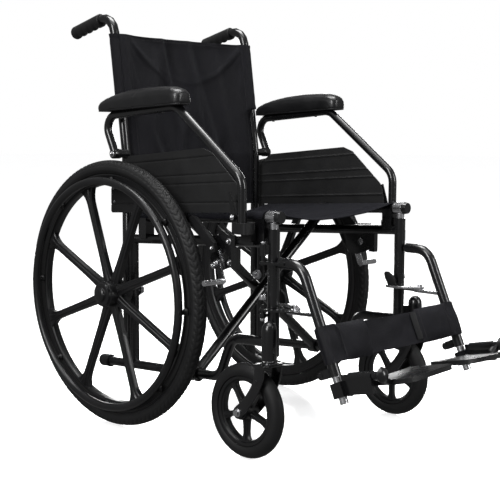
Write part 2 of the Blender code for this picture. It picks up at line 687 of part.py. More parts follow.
def hanger():
    pipe = tube(rounded([
        (LEG_X, -0.4650, 0.4100), (LEG_X, -0.5218, 0.4100), tuple(on_leg(0.2000)),
    ], 0.046, 5), HANGER_R, 14)
    eye = circle(0.0072, 8, HINGE_PIN, math.pi, -math.pi, closed=False)
    strap = eye + [(0.2452, -0.4680), (0.2300, -0.4860), (0.2080, -0.4860), (0.2060, -0.4620), (0.2308, -0.4600)]
    upper = level_plate(strap, 0.4075, 0.4125)
    long_strap = eye + [(0.2452, -0.4680), (0.2290, -0.4900), (0.2220, -0.5560), (0.2100, -0.5560),
                        (0.2060, -0.4620), (0.2308, -0.4600)]
    lower = level_plate(long_strap, 0.3120, 0.3160)
    boss = leg_piece(rectangle(LEG_X - 0.0070, -0.0300, LEG_X + 0.0070, -0.0090), 0.0230, 0.0410)
    knob_at = on_leg(CLAMP_Z) - LEG_DOWN * 0.0320
    knob = cylinder(knob_at - LEG_FRONT * 0.0280, knob_at - LEG_FRONT * 0.0400, 0.0085, 12)
    pins = [cylinder((*HINGE_PIN, 0.4065), (*HINGE_PIN, 0.4135), 0.0035 + CLEAR, 12),
            cylinder((*HINGE_PIN, 0.3110), (*HINGE_PIN, 0.3170), 0.0035 + CLEAR, 12)]
    bore = cylinder(on_leg(0.1900), on_leg(0.3450), LEG_TUBE_R + CLEAR, 14)
    return cut(joined(pipe, upper, lower, boss, knob), bore, *pins)


LATCH_PIVOT = (0.2140, -0.5050)


def hanger_latch():
    """Release lever on the lower strap, with a thumb paddle inboard of the upright."""
    arm = level_plate([(0.2200, -0.5130), (0.2080, -0.5130), (0.1890, -0.4780), (0.1840, -0.4300), (0.1920, -0.4300),
                       (0.1970, -0.4700)], 0.3170, 0.3205)
    paddle = side_plate([(-0.4560, 0.3190), (-0.4560, 0.3360), (-0.4340, 0.3540), (-0.4240, 0.3520), (-0.4260, 0.3400),
                         (-0.4380, 0.3190)], 0.1840, 0.1910)
    pivot = cylinder((*LATCH_PIVOT, 0.3170), (*LATCH_PIVOT, 0.3260), 0.0050, 10)
    return joined(arm, paddle, pivot)


def leg_tube():
    return cylinder(on_leg(0.3180), on_leg(0.1490), LEG_TUBE_R, 14)


PANEL_X = (0.2140, 0.2200)


def foot_bracket():
    """Clamp on the leg tube with a side panel, whose rolled top holds the footplate's hinge pin."""
    collar = leg_piece(rectangle(LEG_X - 0.0130, -0.0120, LEG_X + 0.0130, 0.0150), -0.0200, 0.0100)
    ear = foot_piece(rectangle(PANEL_X[0], -0.0180, PANEL_X[1], 0.0240), 0.0100, 0.0300)
    panel = foot_piece(rectangle(PANEL_X[0] - 0.0005, -0.0155, PANEL_X[1] + 0.0005, 0.0200), 0.0270, 0.0830)
    barrel = hinge_rod(0.0265, 0.0835, 0.0098, 16)
    pin = hinge_rod(0.0600, 0.1060, 0.0030)
    dome = turned([(0.0, 0.0100), (0.0080, 0.0085), (0.0135, 0.0045), (0.0160, 0.0), (0.0145, -0.0025), (0.0, -0.0025)],
                  basis(UPWARD, TOE, hinge_point(0.1055)), 18)
    bore = cylinder(on_leg(0.2300), on_leg(0.1500), LEG_TUBE_R + CLEAR, 14)
    return cut(joined(collar, ear, panel, barrel, pin, dome), bore)


def foot_hinge():
    """Short link on the hinge pin, between the bracket and the footplate."""
    ring = hinge_rod(0.0842, 0.0915, 0.0078)
    flag = foot_piece([(FLIP_X - 0.0020, FLIP_UP), (FLIP_X - 0.0060, FLIP_UP), (FLIP_X - 0.0180, 0.0080),
                       (FLIP_X - 0.0150, 0.0030), (FLIP_X - 0.0020, 0.0110)], 0.0846, 0.0911)
    return cut(joined(ring, flag), hinge_rod(0.0800, 0.0960, 0.0030 + CLEAR))


PLATE_TOP = 0.0040
PLATE_THICK = 0.0100
PLATE_INNER_X = 0.0250
PLATE_OUTER_X = 0.1835


def footplate():
    ring = hinge_rod(0.0922, 0.1018, 0.0078)
    arm = foot_piece([(FLIP_X - 0.0010, FLIP_UP + 0.0050), (FLIP_X - 0.0080, FLIP_UP + 0.0010), (0.1760, -0.0010),
                      (0.1780, -0.0055), (0.1870, -0.0055), (FLIP_X, FLIP_UP - 0.0070)], 0.0926, 0.1014)
    back, front = 0.0400, 0.1420
    low = PLATE_TOP - PLATE_THICK
    outline = [
        (PLATE_OUTER_X, back + 0.010), (PLATE_OUTER_X, front - 0.024), (PLATE_OUTER_X - 0.008, front - 0.008),
        (PLATE_OUTER_X - 0.024, front), (PLATE_INNER_X + 0.016, front), (PLATE_INNER_X + 0.004, front - 0.006),
        (PLATE_INNER_X, front - 0.018), (PLATE_INNER_X, back + 0.012), (PLATE_INNER_X + 0.012, back),
        (PLATE_OUTER_X - 0.012, back),
    ]
    middle = on_leg(CLAMP_Z) + UPWARD * (PLATE_TOP + low) / 2
    panel = plate([outline], PLATE_THICK, basis(TOE, -UPWARD, (0, middle.y, middle.z)))
    shape = cut(joined(panel, arm, ring), hinge_rod(0.0880, 0.1060, 0.0030 + CLEAR))
    pivot = Vector(hinge_point(0.0))
    turn = Matrix.Rotation(-PLATE_TILT, 4, TOE)
    shape.data.transform(Matrix.Translation(pivot) @ turn @ Matrix.Translation(-pivot))
    return shape


def calf_strap():
    ends = []
    for radius in (0.0150, 0.0124):
        edge = circle(radius, 8, (LEG_X, 0), -math.pi / 2, math.pi, closed=False)
        ends.append(edge + circle(radius, 8, (-LEG_X, 0), math.pi / 2, math.pi, closed=False))
    middle = on_leg(0.2580)
    return plate(ends, 0.070, basis(LEG_FRONT, LEG_DOWN, (0, middle.y, middle.z)))


# ---- cross brace, seat rails, upholstery ------------------------------------------------------------------

def brace(sign):
    """One arm of the cross: from the lower rail on one side up to the seat rail on the other."""
    y = BRACE_Y + sign * BRACE_GAP / 2
    foot = Vector((sign * FRAME_X, y, BRACE_FOOT_Z))
    top = Vector((-sign * FRAME_X, y, BRACE_TOP_Z))
    pipe = cylinder(foot, top, BRACE_R, 14)
    reach = Vector((0, SLEEVE_HALF, 0))
    sleeves = [cylinder(end - reach, end + reach, SLEEVE_R, 16) for end in (foot, top)]
    bores = [cylinder(end - reach * 2, end + reach * 2, SLEEVE_BORE_R, 16) for end in (foot, top)]
    middle = (foot + top) / 2
    bores.append(cylinder(middle - reach * 2, middle + reach * 2, 0.0040 + CLEAR, 12))
    return cut(joined(pipe, *sleeves), *bores)


def brace_bolt():
    middle = Vector((0, BRACE_Y, (BRACE_FOOT_Z + BRACE_TOP_Z) / 2))
    reach = Vector((0, BRACE_GAP / 2 + BRACE_R, 0))
    head = Vector((0, 0.0060, 0))
    gap = Vector((0, CLEAR, 0))
    shank = cylinder(middle - reach - head / 2, middle + reach + head / 2, 0.0040, 12)
    nut = cylinder(middle + reach + gap, middle + reach + gap + head, 0.0080, 6)
    cap = cylinder(middle - reach - gap - head, middle - reach - gap, 0.0080, 12)
    return joined(shank, nut, cap)


def seat_rail():
    rail = tube([(FRAME_X, RAIL_FRONT_Y, rail_z(RAIL_FRONT_Y)), (FRAME_X, RAIL_REAR_Y, rail_z(RAIL_REAR_Y))], TUBE_R)
    nose = Vector((FRAME_X, RAIL_FRONT_Y, rail_z(RAIL_FRONT_Y)))
    plug = cylinder(nose + Vector((0, 0.0015, 0)), nose + Vector((0, -0.0080, 0)), 0.0142, 16, 0.0125)
    return joined(rail, plug)


def seat_post():
    y0, y1 = UPRIGHT_Y - 0.0105, UPRIGHT_Y + 0.0130
    collar = cylinder((FRAME_X, y0, rail_z(y0)), (FRAME_X, y1, rail_z(y1)), 0.0140, 16)
    bore = cylinder((FRAME_X, y0 - 0.02, rail_z(y0 - 0.02)), (FRAME_X, y1 + 0.02, rail_z(y1 + 0.02)), TUBE_R + CLEAR, 16)
    post = cylinder((FRAME_X, UPRIGHT_Y, POST_FOOT_Z), (FRAME_X, UPRIGHT_Y, rail_z(UPRIGHT_Y) - 0.0110), POST_R, 16)
    return cut(joined(collar, post), bore)


SEAT_THICK = 0.0030


def offset_band(line, thickness):
    """Closed outline of a band that lies on the outer side of an open line."""
    outer = []
    for index, point in enumerate(line):
        before = line[max(index - 1, 0)]
        after = line[min(index + 1, len(line) - 1)]
        run = Vector((after[0] - before[0], after[1] - before[1])).normalized()
        outer.append((point[0] + run.y * -thickness, point[1] + run.x * thickness))
    return list(line) + list(reversed(outer))


def seat():
    """Cloth sling between the seat rails, wrapped over them and sagging a little in the middle."""
    wrap = TUBE_R + CLEAR
    left = circle(wrap, 6, (FRAME_X, 0), 0.0, math.radians(100), closed=False)
    right = [(-x, h) for x, h in left]
    sag = [(x, 0.0108 - 0.0120 * (1 - (x / 0.200) ** 2)) for x in (-0.18, -0.12, -0.06, 0.0, 0.06, 0.12, 0.18)]
    line = right + sag + list(reversed(left))
    rear, front = -0.0300, -0.4240
    depth = rear - front
    tilt = math.atan(RAIL_SLOPE)
    stand = Matrix.Rotation(math.pi / 2 + tilt, 4, "X")
    middle = (rear + front) / 2
    cloth = plate([offset_band(line, SEAT_THICK)], depth, Matrix.Translation((0, middle, rail_z(middle))) @ stand)
    notches = []
    for sign in (-1, 1):
        y = BRACE_Y + sign * BRACE_GAP / 2
        ends = ((-sign * FRAME_X, y - SLEEVE_HALF - 0.001, BRACE_TOP_Z), (-sign * FRAME_X, y + SLEEVE_HALF + 0.001, BRACE_TOP_Z))
        notches.append(cylinder(*ends, SLEEVE_R + 0.0006, 16))
    return cut(cloth, *notches)


def skin(sections):
    """A solid through closed outlines that all have the same number of points."""
    shape = bmesh.new()
    rows = [[shape.verts.new(point) for point in section] for section in sections]
    count = len(rows[0])
    for low, high in zip(rows, rows[1:]):
        for i in range(count):
            shape.faces.new((low[i], low[(i + 1) % count], high[(i + 1) % count], high[i]))
    shape.faces.new(rows[0])
    shape.faces.new(rows[-1])
    bmesh.ops.recalc_face_normals(shape, faces=shape.faces)
    return from_bmesh(shape, Matrix.Identity(4))


def cane_y(z):
    bend, corner = Vector(CANE_PATH[1]), Vector(CANE_PATH[2])
    return CANE_Y + max(z - bend.z, 0.0) * (corner.y - bend.y) / (corner.z - bend.z)


def back():
    """Cloth back between the canes: sleeves round them at the top, a plain panel below."""
    sections = []
    for z, half in ((0.515, 0.198), (0.620, 0.198), (0.7345, 0.198), (0.7355, FRAME_X), (0.9000, FRAME_X)):
        front, rear = [], []
        for step in range(7):
            x = half * (step / 3 - 1)
            bow = 0.008 * (1 - (step / 3 - 1) ** 2)
            front.append((x, cane_y(z) - 0.0144 + bow, z))
            rear.append((x, cane_y(z) - 0.0119 + bow, z))
        sections.append(front + list(reversed(rear)))
    panel = skin(sections)
    sleeves, bores = [], []
    for x in (-FRAME_X, FRAME_X):
        sleeves.append(cylinder((x, cane_y(0.7350), 0.7350), (x, cane_y(0.9000), 0.9000), 0.0145, 16))
        bores.append(cylinder((x, cane_y(0.7100), 0.7100), (x, cane_y(0.9200), 0.9200), TUBE_R + 0.0008, 16))
    return cut(joined(panel, *sleeves), *bores)


def build():
    pair("side_frame", side_frame(), PAINT, (FRAME_X, UPRIGHT_Y, 0))
    pair("grip", grip(), RUBBER, CANE_PATH[3])
    pair("tip_cap", tip_cap(), RUBBER, (FRAME_X, 0.10, lower_rail_z(0.10)))
    pair("arm_socket", arm_socket(), PLASTIC, (ARM_X, -0.3960, 0.4770))
    pair("axle", axle(), CHROME, (WHEEL_X, 0, WHEEL_R))
    pair("wheel", wheel(), MAG, (WHEEL_X, 0, WHEEL_R))
    pair("tyre", tyre(), TYRE, (WHEEL_X, 0, WHEEL_R))
    pair("handrim", handrim(), MAG, (WHEEL_X, 0, WHEEL_R))
    pair("caster_fork", caster_fork(), PAINT, (CASTER_X, CASTER_Y, 0.2075))
    pair("caster_axle", caster_axle(), CHROME, (CASTER_X, *CASTER_AXLE))
    pair("caster_wheel", caster_wheel(), MAG, (CASTER_X, *CASTER_AXLE))
    pair("caster_tyre", caster_tyre(), TYRE, (CASTER_X, *CASTER_AXLE))
    pair("arm_tube", arm_tube(), PAINT, (ARM_X, *ARM_PIVOT))
    pair("arm_pad", arm_pad(), VINYL, (ARM_X, *ARM_PIVOT))
    pair("skirt_guard", skirt_guard(), PLASTIC, (ARM_X, *ARM_PIVOT))
    pair("arm_latch", arm_latch(), PAINT, (ARM_X, -0.3710, 0.5000))
    pair("brake_bracket", brake_bracket(), PAINT, (0.2290, *LEVER_PIVOT))
    pair("brake_lever", brake_lever(), PLASTIC, (0.2470, *LEVER_PIVOT))
    pair("brake_shoe", brake_shoe(), CHROME, (0.2345, *SHOE_PIVOT))
    pair("hanger", hanger(), PAINT, (*HINGE_PIN, 0.3600))
    pair("hanger_latch", hanger_latch(), PAINT, (*LATCH_PIVOT, 0.3170))
    pair("leg_tube", leg_tube(), CHROME, on_leg(0.2000))
    pair("foot_bracket", foot_bracket(), PAINT, on_leg(CLAMP_Z))
    pair("foot_hinge", foot_hinge(), PAINT, hinge_point(0.088))
    pair("footplate", footplate(), PLASTIC, hinge_point(0.097))
    pair("seat_rail", seat_rail(), PAINT, (FRAME_X, BRACE_Y, BRACE_TOP_Z))
    pair("seat_post", seat_post(), CHROME, (FRAME_X, UPRIGHT_Y, UPRIGHT_TOP_Z))
    middle_z = (BRACE_FOOT_Z + BRACE_TOP_Z) / 2
    finished("brace_a", brace(-1), PAINT, (-FRAME_X, BRACE_Y - BRACE_GAP / 2, BRACE_FOOT_Z))
    finished("brace_b", brace(1), PAINT, (0, BRACE_Y + BRACE_GAP / 2, middle_z))
    finished("brace_bolt", brace_bolt(), CHROME, (0, BRACE_Y, middle_z))
    finished("seat", seat(), NYLON, (0, BRACE_Y, BRACE_TOP_Z))
    finished("back", back(), NYLON, (0, CANE_Y, 0.7000))
    finished("calf_strap", calf_strap(), NYLON, (0, on_leg(0.2600).y, 0.2600))
    bpy.data.collections.remove(WORKSHOP)


build()
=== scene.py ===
"""The looks of the folding wheelchair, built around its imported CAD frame.

The chair faces -Y, its left side is +X, and the floor is Z = 0. Paired pieces are shaped once on the left
side and mirrored. Lengths along the chair are counted from the rear axle, as in the CAD source."""

import json
from math import atan, atan2, cos, exp, pi, radians, sin, sqrt, tan

import bmesh
import bpy
import numpy as np
from mathutils import Matrix, Vector, noise

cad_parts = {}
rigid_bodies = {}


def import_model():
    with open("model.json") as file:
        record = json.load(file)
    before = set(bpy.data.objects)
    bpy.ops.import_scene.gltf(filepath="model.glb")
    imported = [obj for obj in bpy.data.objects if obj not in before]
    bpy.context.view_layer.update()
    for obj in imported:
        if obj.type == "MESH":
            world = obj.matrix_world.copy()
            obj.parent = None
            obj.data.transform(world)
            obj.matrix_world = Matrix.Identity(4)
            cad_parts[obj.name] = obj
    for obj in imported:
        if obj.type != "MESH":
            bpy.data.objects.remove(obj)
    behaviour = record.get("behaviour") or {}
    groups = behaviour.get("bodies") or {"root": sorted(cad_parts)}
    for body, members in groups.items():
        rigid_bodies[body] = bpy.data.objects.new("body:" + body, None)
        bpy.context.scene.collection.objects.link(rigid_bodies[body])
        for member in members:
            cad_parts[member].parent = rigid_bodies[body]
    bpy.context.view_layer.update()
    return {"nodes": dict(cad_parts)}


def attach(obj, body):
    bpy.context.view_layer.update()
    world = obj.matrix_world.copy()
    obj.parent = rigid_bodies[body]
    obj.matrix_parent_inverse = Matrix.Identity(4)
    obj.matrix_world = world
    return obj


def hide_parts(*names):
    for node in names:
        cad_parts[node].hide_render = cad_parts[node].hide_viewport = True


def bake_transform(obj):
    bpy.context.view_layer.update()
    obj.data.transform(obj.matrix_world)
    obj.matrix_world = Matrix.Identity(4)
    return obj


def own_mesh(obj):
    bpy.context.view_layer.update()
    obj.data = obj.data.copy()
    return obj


for item in list(bpy.data.objects):
    bpy.data.objects.remove(item, do_unlink=True)

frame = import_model()

AXLE_Y = 0.229
FRAME_X = 0.215
TUBE_R = 0.011
CANE_Y = 0.024
WHEEL_R = 0.305
WHEEL_X = 0.277
TYRE_R = 0.0175
HANDRIM_R = 0.2585
HANDRIM_X = 0.309
SPOKES = 8
SPOKE_PHASE = radians(20)
CASTER_X = 0.2505
CASTER_Y = -0.467
CASTER_AXLE = (-0.405, 0.1)
CASTER_R = 0.1
ARM_X = 0.254
LEG_X = 0.2165
LEG_LEAN = radians(23.8)
LEG_ORIGIN = Vector((LEG_X, -0.584, 0.269))
BRACE_Y = -0.199
RAIL_Z = 0.488
RAIL_SLOPE = -0.052
ARM_PIVOT = (0.02, 0.624)
PAD_X = 0.259
PAD_FRONT, PAD_BACK = -0.225, 0.049
PAD_FRONT_Z, PAD_BACK_Z = 0.734, 0.7214
PAD_LENGTH = PAD_BACK - PAD_FRONT
GUARD_FACE_X = 0.2365


def rail_z(y):
    return RAIL_Z + RAIL_SLOPE * (y - BRACE_Y)


def lower_rail_z(y):
    return 0.13 - 0.057 * y


def cane_y(z):
    return CANE_Y + max(z - 0.62, 0.0) * (0.07 - CANE_Y) / (0.946 - 0.62)


def clamped(value):
    return min(1.0, max(0.0, value))


def bell(distance, width):
    return exp(-(distance / width) ** 2)


# ---- materials --------------------------------------------------------------------------------------------

class Look:
    """A Principled material and the few node set-ups that its detail is made from."""

    def __init__(self, name, colour, roughness, metallic=0.0, coat=0.0, sheen=0.0, specular=0.5):
        self.material = bpy.data.materials.new(name)
        self.material.use_nodes = True
        self.tree = self.material.node_tree
        self.shader = self.tree.nodes["Principled BSDF"]
        self.colour = colour
        for socket, value in (("Base Color", (*colour, 1.0)), ("Roughness", roughness), ("Metallic", metallic),
                              ("Specular IOR Level", specular), ("Coat Weight", coat), ("Coat Roughness", 0.08),
                              ("Sheen Weight", sheen), ("Sheen Roughness", 0.45)):
            self.shader.inputs[socket].default_value = value
        self.place = self.tree.nodes.new("ShaderNodeTexCoord").outputs["Object"]
        self.normal = None

    def node(self, kind, **values):
        made = self.tree.nodes.new(kind)
        for key, value in values.items():
            setattr(made, key, value)
        return made

    def link(self, source, target):
        self.tree.links.new(source, target)

    def noise(self, scale, detail=3.0, roughness=0.5):
        made = self.node("ShaderNodeTexNoise")
        made.inputs["Scale"].default_value = scale
        made.inputs["Detail"].default_value = detail
        made.inputs["Roughness"].default_value = roughness
        self.link(self.place, made.inputs["Vector"])
        return made.outputs["Fac"]

    def ranged(self, value, low, high, to_low, to_high):
        made = self.node("ShaderNodeMapRange")
        for key, number in zip(("From Min", "From Max", "To Min", "To Max"), (low, high, to_low, to_high)):
            made.inputs[key].default_value = number
        self.link(value, made.inputs["Value"])
        return made.outputs["Result"]

    def math(self, operation, first, second):
        made = self.node("ShaderNodeMath", operation=operation)
        for socket, value in zip(made.inputs, (first, second)):
            if isinstance(value, (int, float)):
                socket.default_value = value
            else:
                self.link(value, socket)
        return made.outputs[0]

    def tint(self, value, other):
        """Base colour varies from the look's own colour to other as value goes from 0 to 1."""
        mix = self.node("ShaderNodeMix", data_type="RGBA")
        mix.inputs["A"].default_value = (*self.colour, 1.0)
        mix.inputs["B"].default_value = (*other, 1.0)
        self.link(value, mix.inputs["Factor"])
        self.link(mix.outputs["Result"], self.shader.inputs["Base Color"])

    def patches(self, scale, detail, high, other):
        """Soft patches of another colour."""
        self.tint(self.ranged(self.noise(scale, detail), 0.35, high, 0.0, 1.0), other)

    def rough(self, value, low, high):
        self.link(self.ranged(value, 0.3, 0.7, low, high), self.shader.inputs["Roughness"])

    def bump(self, height, distance, strength=1.0):
        made = self.node("ShaderNodeBump")
        made.inputs["Distance"].default_value = distance
        made.inputs["Strength"].default_value = strength
        self.link(height, made.inputs["Height"])
        if self.normal is not None:
            self.link(self.normal, made.inputs["Normal"])
        self.normal = made.outputs["Normal"]
        self.link(self.normal, self.shader.inputs["Normal"])

    def soft_edges(self, radius):
        made = self.node("ShaderNodeBevel", samples=6)
        made.inputs["Radius"].default_value = radius
        self.normal = made.outputs["Normal"]
        self.link(self.normal, self.shader.inputs["Normal"])

    def bands(self, axis, pitch):
        made = self.node("ShaderNodeTexWave", wave_type="BANDS", bands_direction=axis, wave_profile="SIN")
        made.inputs["Scale"].default_value = 2 * pi / (20 * pitch)
        made.inputs["Distortion"].default_value = 0.0
        self.link(self.place, made.inputs["Vector"])
        return made.outputs["Fac"]

    def weave(self, axes, pitch, depth):
        across = self.bands(axes[0], pitch)
        down = self.bands(axes[1], pitch)
        cell = self.math("MAXIMUM", self.math("MULTIPLY", across, 0.9), down)
        cell = self.math("MULTIPLY", cell, self.math("ADD", across, down))
        self.bump(cell, depth)
        return cell


def paint_look(name, worn_edges):
    """Gloss black over metal, with softened edges where a part has flat faces."""
    look = Look(name, (0.004, 0.004, 0.0046), 0.2, coat=0.7, specular=0.5)
    if worn_edges:
        look.soft_edges(0.0004)
    look.rough(look.noise(38, 4), 0.25, 0.32)
    look.patches(9, 3, 0.7, (0.006, 0.006, 0.0068))
    return look.material


def metal_look(name, colour, low, high):
    """Bright metal with faint patches and fine scratches."""
    look = Look(name, colour, low, metallic=1.0)
    look.soft_edges(0.0004)
    look.rough(look.noise(60, 4), low, high)
    look.patches(25, 3, 0.75, tuple(c * 0.72 for c in colour))
    look.bump(look.noise(900, 2), 0.00003, 0.5)
    return look.material


def plastic_look(name, colour, low, high, grain, depth, specular=0.45, coat=0.0):
    """Moulded plastic or rubber with a fine pebble grain."""
    look = Look(name, colour, low, specular=specular, coat=coat)
    look.soft_edges(0.0006)
    look.rough(look.noise(30, 4), low, high)
    look.patches(14, 4, 0.7, tuple(c * 1.55 for c in colour))
    look.bump(look.noise(grain, 3, 0.6), depth)
    return look.material


def cloth_look(name, colour, axes, pitch=0.0011, depth=0.00028, sheen=0.05, roughness=0.8, specular=0.3):
    """Woven cloth: two crossing sets of threads, uneven yarn and slightly faded patches."""
    look = Look(name, colour, roughness, sheen=sheen, specular=specular)
    look.shader.inputs["Sheen Tint"].default_value = (0.75, 0.78, 0.85, 1.0)
    cell = look.weave(axes, pitch, depth)
    yarn = look.noise(260, 3, 0.6)
    faded = look.noise(7, 4, 0.6)
    mixed = look.math("ADD", look.math("MULTIPLY", yarn, 0.55), look.math("MULTIPLY", faded, 0.45))
    shade = look.math("ADD", mixed, look.math("MULTIPLY", cell, 0.1))
    look.tint(look.ranged(shade, 0.38, 0.78, 0.0, 1.0), tuple(c * 2.1 for c in colour))
    look.bump(yarn, depth * 0.7)
    look.rough(faded, roughness - 0.08, min(roughness + 0.06, 1.0))
    return look.material


def vinyl_look():
    """Soft-touch vinyl with a leather grain."""
    look = Look("arm pad vinyl", (0.008, 0.008, 0.0088), 0.34, specular=0.5, coat=0.25)
    cells = look.node("ShaderNodeTexVoronoi", feature="DISTANCE_TO_EDGE")
    cells.inputs["Scale"].default_value = 620
    cells.inputs["Randomness"].default_value = 0.9
    look.link(look.place, cells.inputs["Vector"])
    look.bump(look.ranged(cells.outputs["Distance"], 0.0, 0.25, 0.0, 1.0), 0.00006, 0.4)
    look.bump(look.noise(120, 3), 0.0001, 0.4)
    look.patches(18, 4, 0.7, (0.012, 0.012, 0.0128))
    look.rough(look.noise(40, 3), 0.28, 0.4)
    return look.material


def loop_look():
    """Hook-and-loop tape: a dense felted pile."""
    look = Look("hook and loop pile", (0.006, 0.006, 0.0066), 0.95, sheen=0.15, specular=0.2)
    look.bump(look.noise(1500, 4, 0.7), 0.0006)
    look.patches(700, 3, 0.65, (0.013, 0.013, 0.014))
    return look.material


def thread_look():
    look = Look("sewing thread", (0.026, 0.026, 0.029), 0.7, sheen=0.1)
    look.bump(look.bands("DIAGONAL", 0.0006), 0.0002)
    look.tint(look.noise(300, 2), (0.042, 0.042, 0.045))
    return look.material


PAINT = paint_look("gloss black powder coat", True)
TUBE_PAINT = paint_look("gloss black tube paint", False)
CHROME = metal_look("bright chrome", (0.86, 0.86, 0.88), 0.2, 0.3)
ZINC = metal_look("zinc plate", (0.55, 0.55, 0.57), 0.24, 0.4)
PLASTIC = plastic_look("textured plastic", (0.007, 0.007, 0.0076), 0.44, 0.58, 850, 0.0001)
MAG = plastic_look("moulded nylon", (0.0062, 0.0062, 0.0068), 0.3, 0.42, 500, 0.00005, 0.5, coat=0.1)
RUBBER = plastic_look("soft rubber", (0.008, 0.008, 0.0084), 0.46, 0.6, 950, 0.00012, 0.4)
TYRE = plastic_look("tyre rubber", (0.008, 0.008, 0.0084), 0.5, 0.66, 1100, 0.0001, 0.4)
GUARD = plastic_look("grained guard board", (0.01, 0.01, 0.0104), 0.46, 0.6, 640, 0.00045, 0.5)
STEP_PLASTIC = plastic_look("footplate nylon", (0.007, 0.007, 0.0075), 0.24, 0.34, 500, 0.00004, 0.5, coat=0.3)
VINYL = vinyl_look()
BACK_CLOTH = cloth_look("back nylon", (0.003, 0.0028, 0.0048), ("X", "Z"))
SEAT_CLOTH = cloth_look("seat nylon", (0.0025, 0.0024, 0.0042), ("X", "Y"), specular=0.12)
STRAP_CLOTH = cloth_look("strap nylon", (0.0021, 0.0019, 0.0038), ("X", "Z"), pitch=0.0013, depth=0.0002,
                         sheen=0.02, roughness=0.58)
LOOP = loop_look()
THREAD = thread_look()


# ---- mesh helpers -----------------------------------------------------------------------------------------

def add(name, data):
    made = bpy.data.objects.new(name, data)
    bpy.context.scene.collection.objects.link(made)
    return made


def mesh_of(form):
    """A mesh object from a bmesh, which is freed."""
    mesh = bpy.data.meshes.new("shape")
    form.to_mesh(mesh)
    form.free()
    return add("shape", mesh)


def evaluated(source):
    """A plain mesh object with the evaluated shape of source, in world space; source is removed."""
    bpy.context.view_layer.update()
    graph = bpy.context.evaluated_depsgraph_get()
    mesh = bpy.data.meshes.new_from_object(source.evaluated_get(graph))
    mesh.transform(source.matrix_world)
    bpy.data.objects.remove(source, do_unlink=True)
    return add("shape", mesh)


def tidy(obj):
    """Weld points that coincide and turn the faces outward."""
    shape = bmesh.new()
    shape.from_mesh(obj.data)
    bmesh.ops.remove_doubles(shape, verts=shape.verts, dist=1e-6)
    bmesh.ops.recalc_face_normals(shape, faces=shape.faces)
    shape.to_mesh(obj.data)
    shape.free()
    return obj


def lofted(rings, caps=True, closed=True):
    """A skin through rings of the same number of points; with closed, each ring is a loop."""
    count = len(rings[0])
    verts = [tuple(point) for ring in rings for point in ring]
    faces = []
    span = count if closed else count - 1
    for row in range(len(rings) - 1):
        for i in range(span):
            a, b = row * count + i, row * count + (i + 1) % count
            faces.append((a, b, b + count, a + count))
    if caps:
        faces.append(tuple(range(count - 1, -1, -1)))
        faces.append(tuple(range(len(verts) - count, len(verts))))
    mesh = bpy.data.meshes.new("shape")
    mesh.from_pydata(verts, [], faces)
    return tidy(add("shape", mesh))


def circle(count):
    """(cos, sin) of evenly spaced angles round a circle."""
    return [(cos(2 * pi * i / count), sin(2 * pi * i / count)) for i in range(count)]


def grid_sheet(point, columns, rows):
    """A sheet whose point (u, v), both from 0 to 1, is given by a function."""
    verts = [tuple(point(i / columns, j / rows)) for j in range(rows + 1) for i in range(columns + 1)]
    faces = []
    for j in range(rows):
        for i in range(columns):
            a = j * (columns + 1) + i
            faces.append((a, a + 1, a + columns + 2, a + columns + 1))
    mesh = bpy.data.meshes.new("shape")
    mesh.from_pydata(verts, [], faces)
    return add("shape", mesh)


def both_faces(profile):
    """The profile of a rim whose two faces mirror each other, from the profile of one."""
    return profile + [(r, -h) for r, h in reversed(profile)]


def turned(profile, matrix, steps=48, ring=False):
    """A profile of (radius, height) points turned about local Z; with ring, the profile is a loop."""
    profile = list(profile) + ([profile[0]] if ring else [])
    rings = [[matrix @ Vector((r * c, r * s, h)) for r, h in profile] for c, s in circle(steps)]
    rings.append(rings[0])
    return lofted(rings, caps=False, closed=False)


def spin_axis(x, y, z):
    """Stands local Z along the chair's X at this point."""
    return Matrix.Translation((x, y, z)) @ Matrix.Rotation(pi / 2, 4, "Y")


def along(start, end):
    """Stands local Z from start toward end."""
    start, end = Vector(start), Vector(end)
    turn = (end - start).to_track_quat("Z", "Y").to_matrix().to_4x4()
    return Matrix.Translation(start) @ turn


def rod(start, end, radius, sides=24, edge=0.0006):
    """A cylinder with softened rims."""
    length = (Vector(end) - Vector(start)).length
    rim = [(radius - edge, 0), (radius - edge * 0.3, edge * 0.3), (radius, edge)]
    profile = [(0, 0)] + rim + [(r, length - h) for r, h in reversed(rim)] + [(0, length)]
    return turned(profile, along(start, end), sides)


def post(x, y, low, high, radius, sides=24, edge=0.0006):
    """An upright cylinder."""
    return rod((x, y, low), (x, y, high), radius, sides, edge)


def dome_nut(at, direction, size=0.0055, height=0.0075):
    """Acorn nut on a thin washer, whose face is at the point and which stands along direction."""
    at, direction = Vector(at), Vector(direction).normalized()
    stand = along(at, at + direction)
    washer = turned([(0, 0), (size * 1.35, 0), (size * 1.4, 0.0002), (size * 1.4, 0.0009), (size * 1.3, 0.0011),
                     (0, 0.0011)], stand, 24)
    rings = []
    for h, grow in ((0.0011, 0.97), (0.0016, 1.0), (height * 0.48, 1.0), (height * 0.55, 0.93)):
        rings.append([stand @ Vector((size * grow * c, size * grow * s, h)) for c, s in circle(6)])
    body = lofted(rings)
    dome = [(size * 0.8 * sin(t), height * 0.5 + height * 0.5 * cos(t))
            for t in (0.35, 0.7, 1.05, 1.35, 1.57)]
    cap = turned([(0, height)] + dome + [(size * 0.8, height * 0.45), (0, height * 0.45)], stand, 24)
    return merged(washer, body, cap)


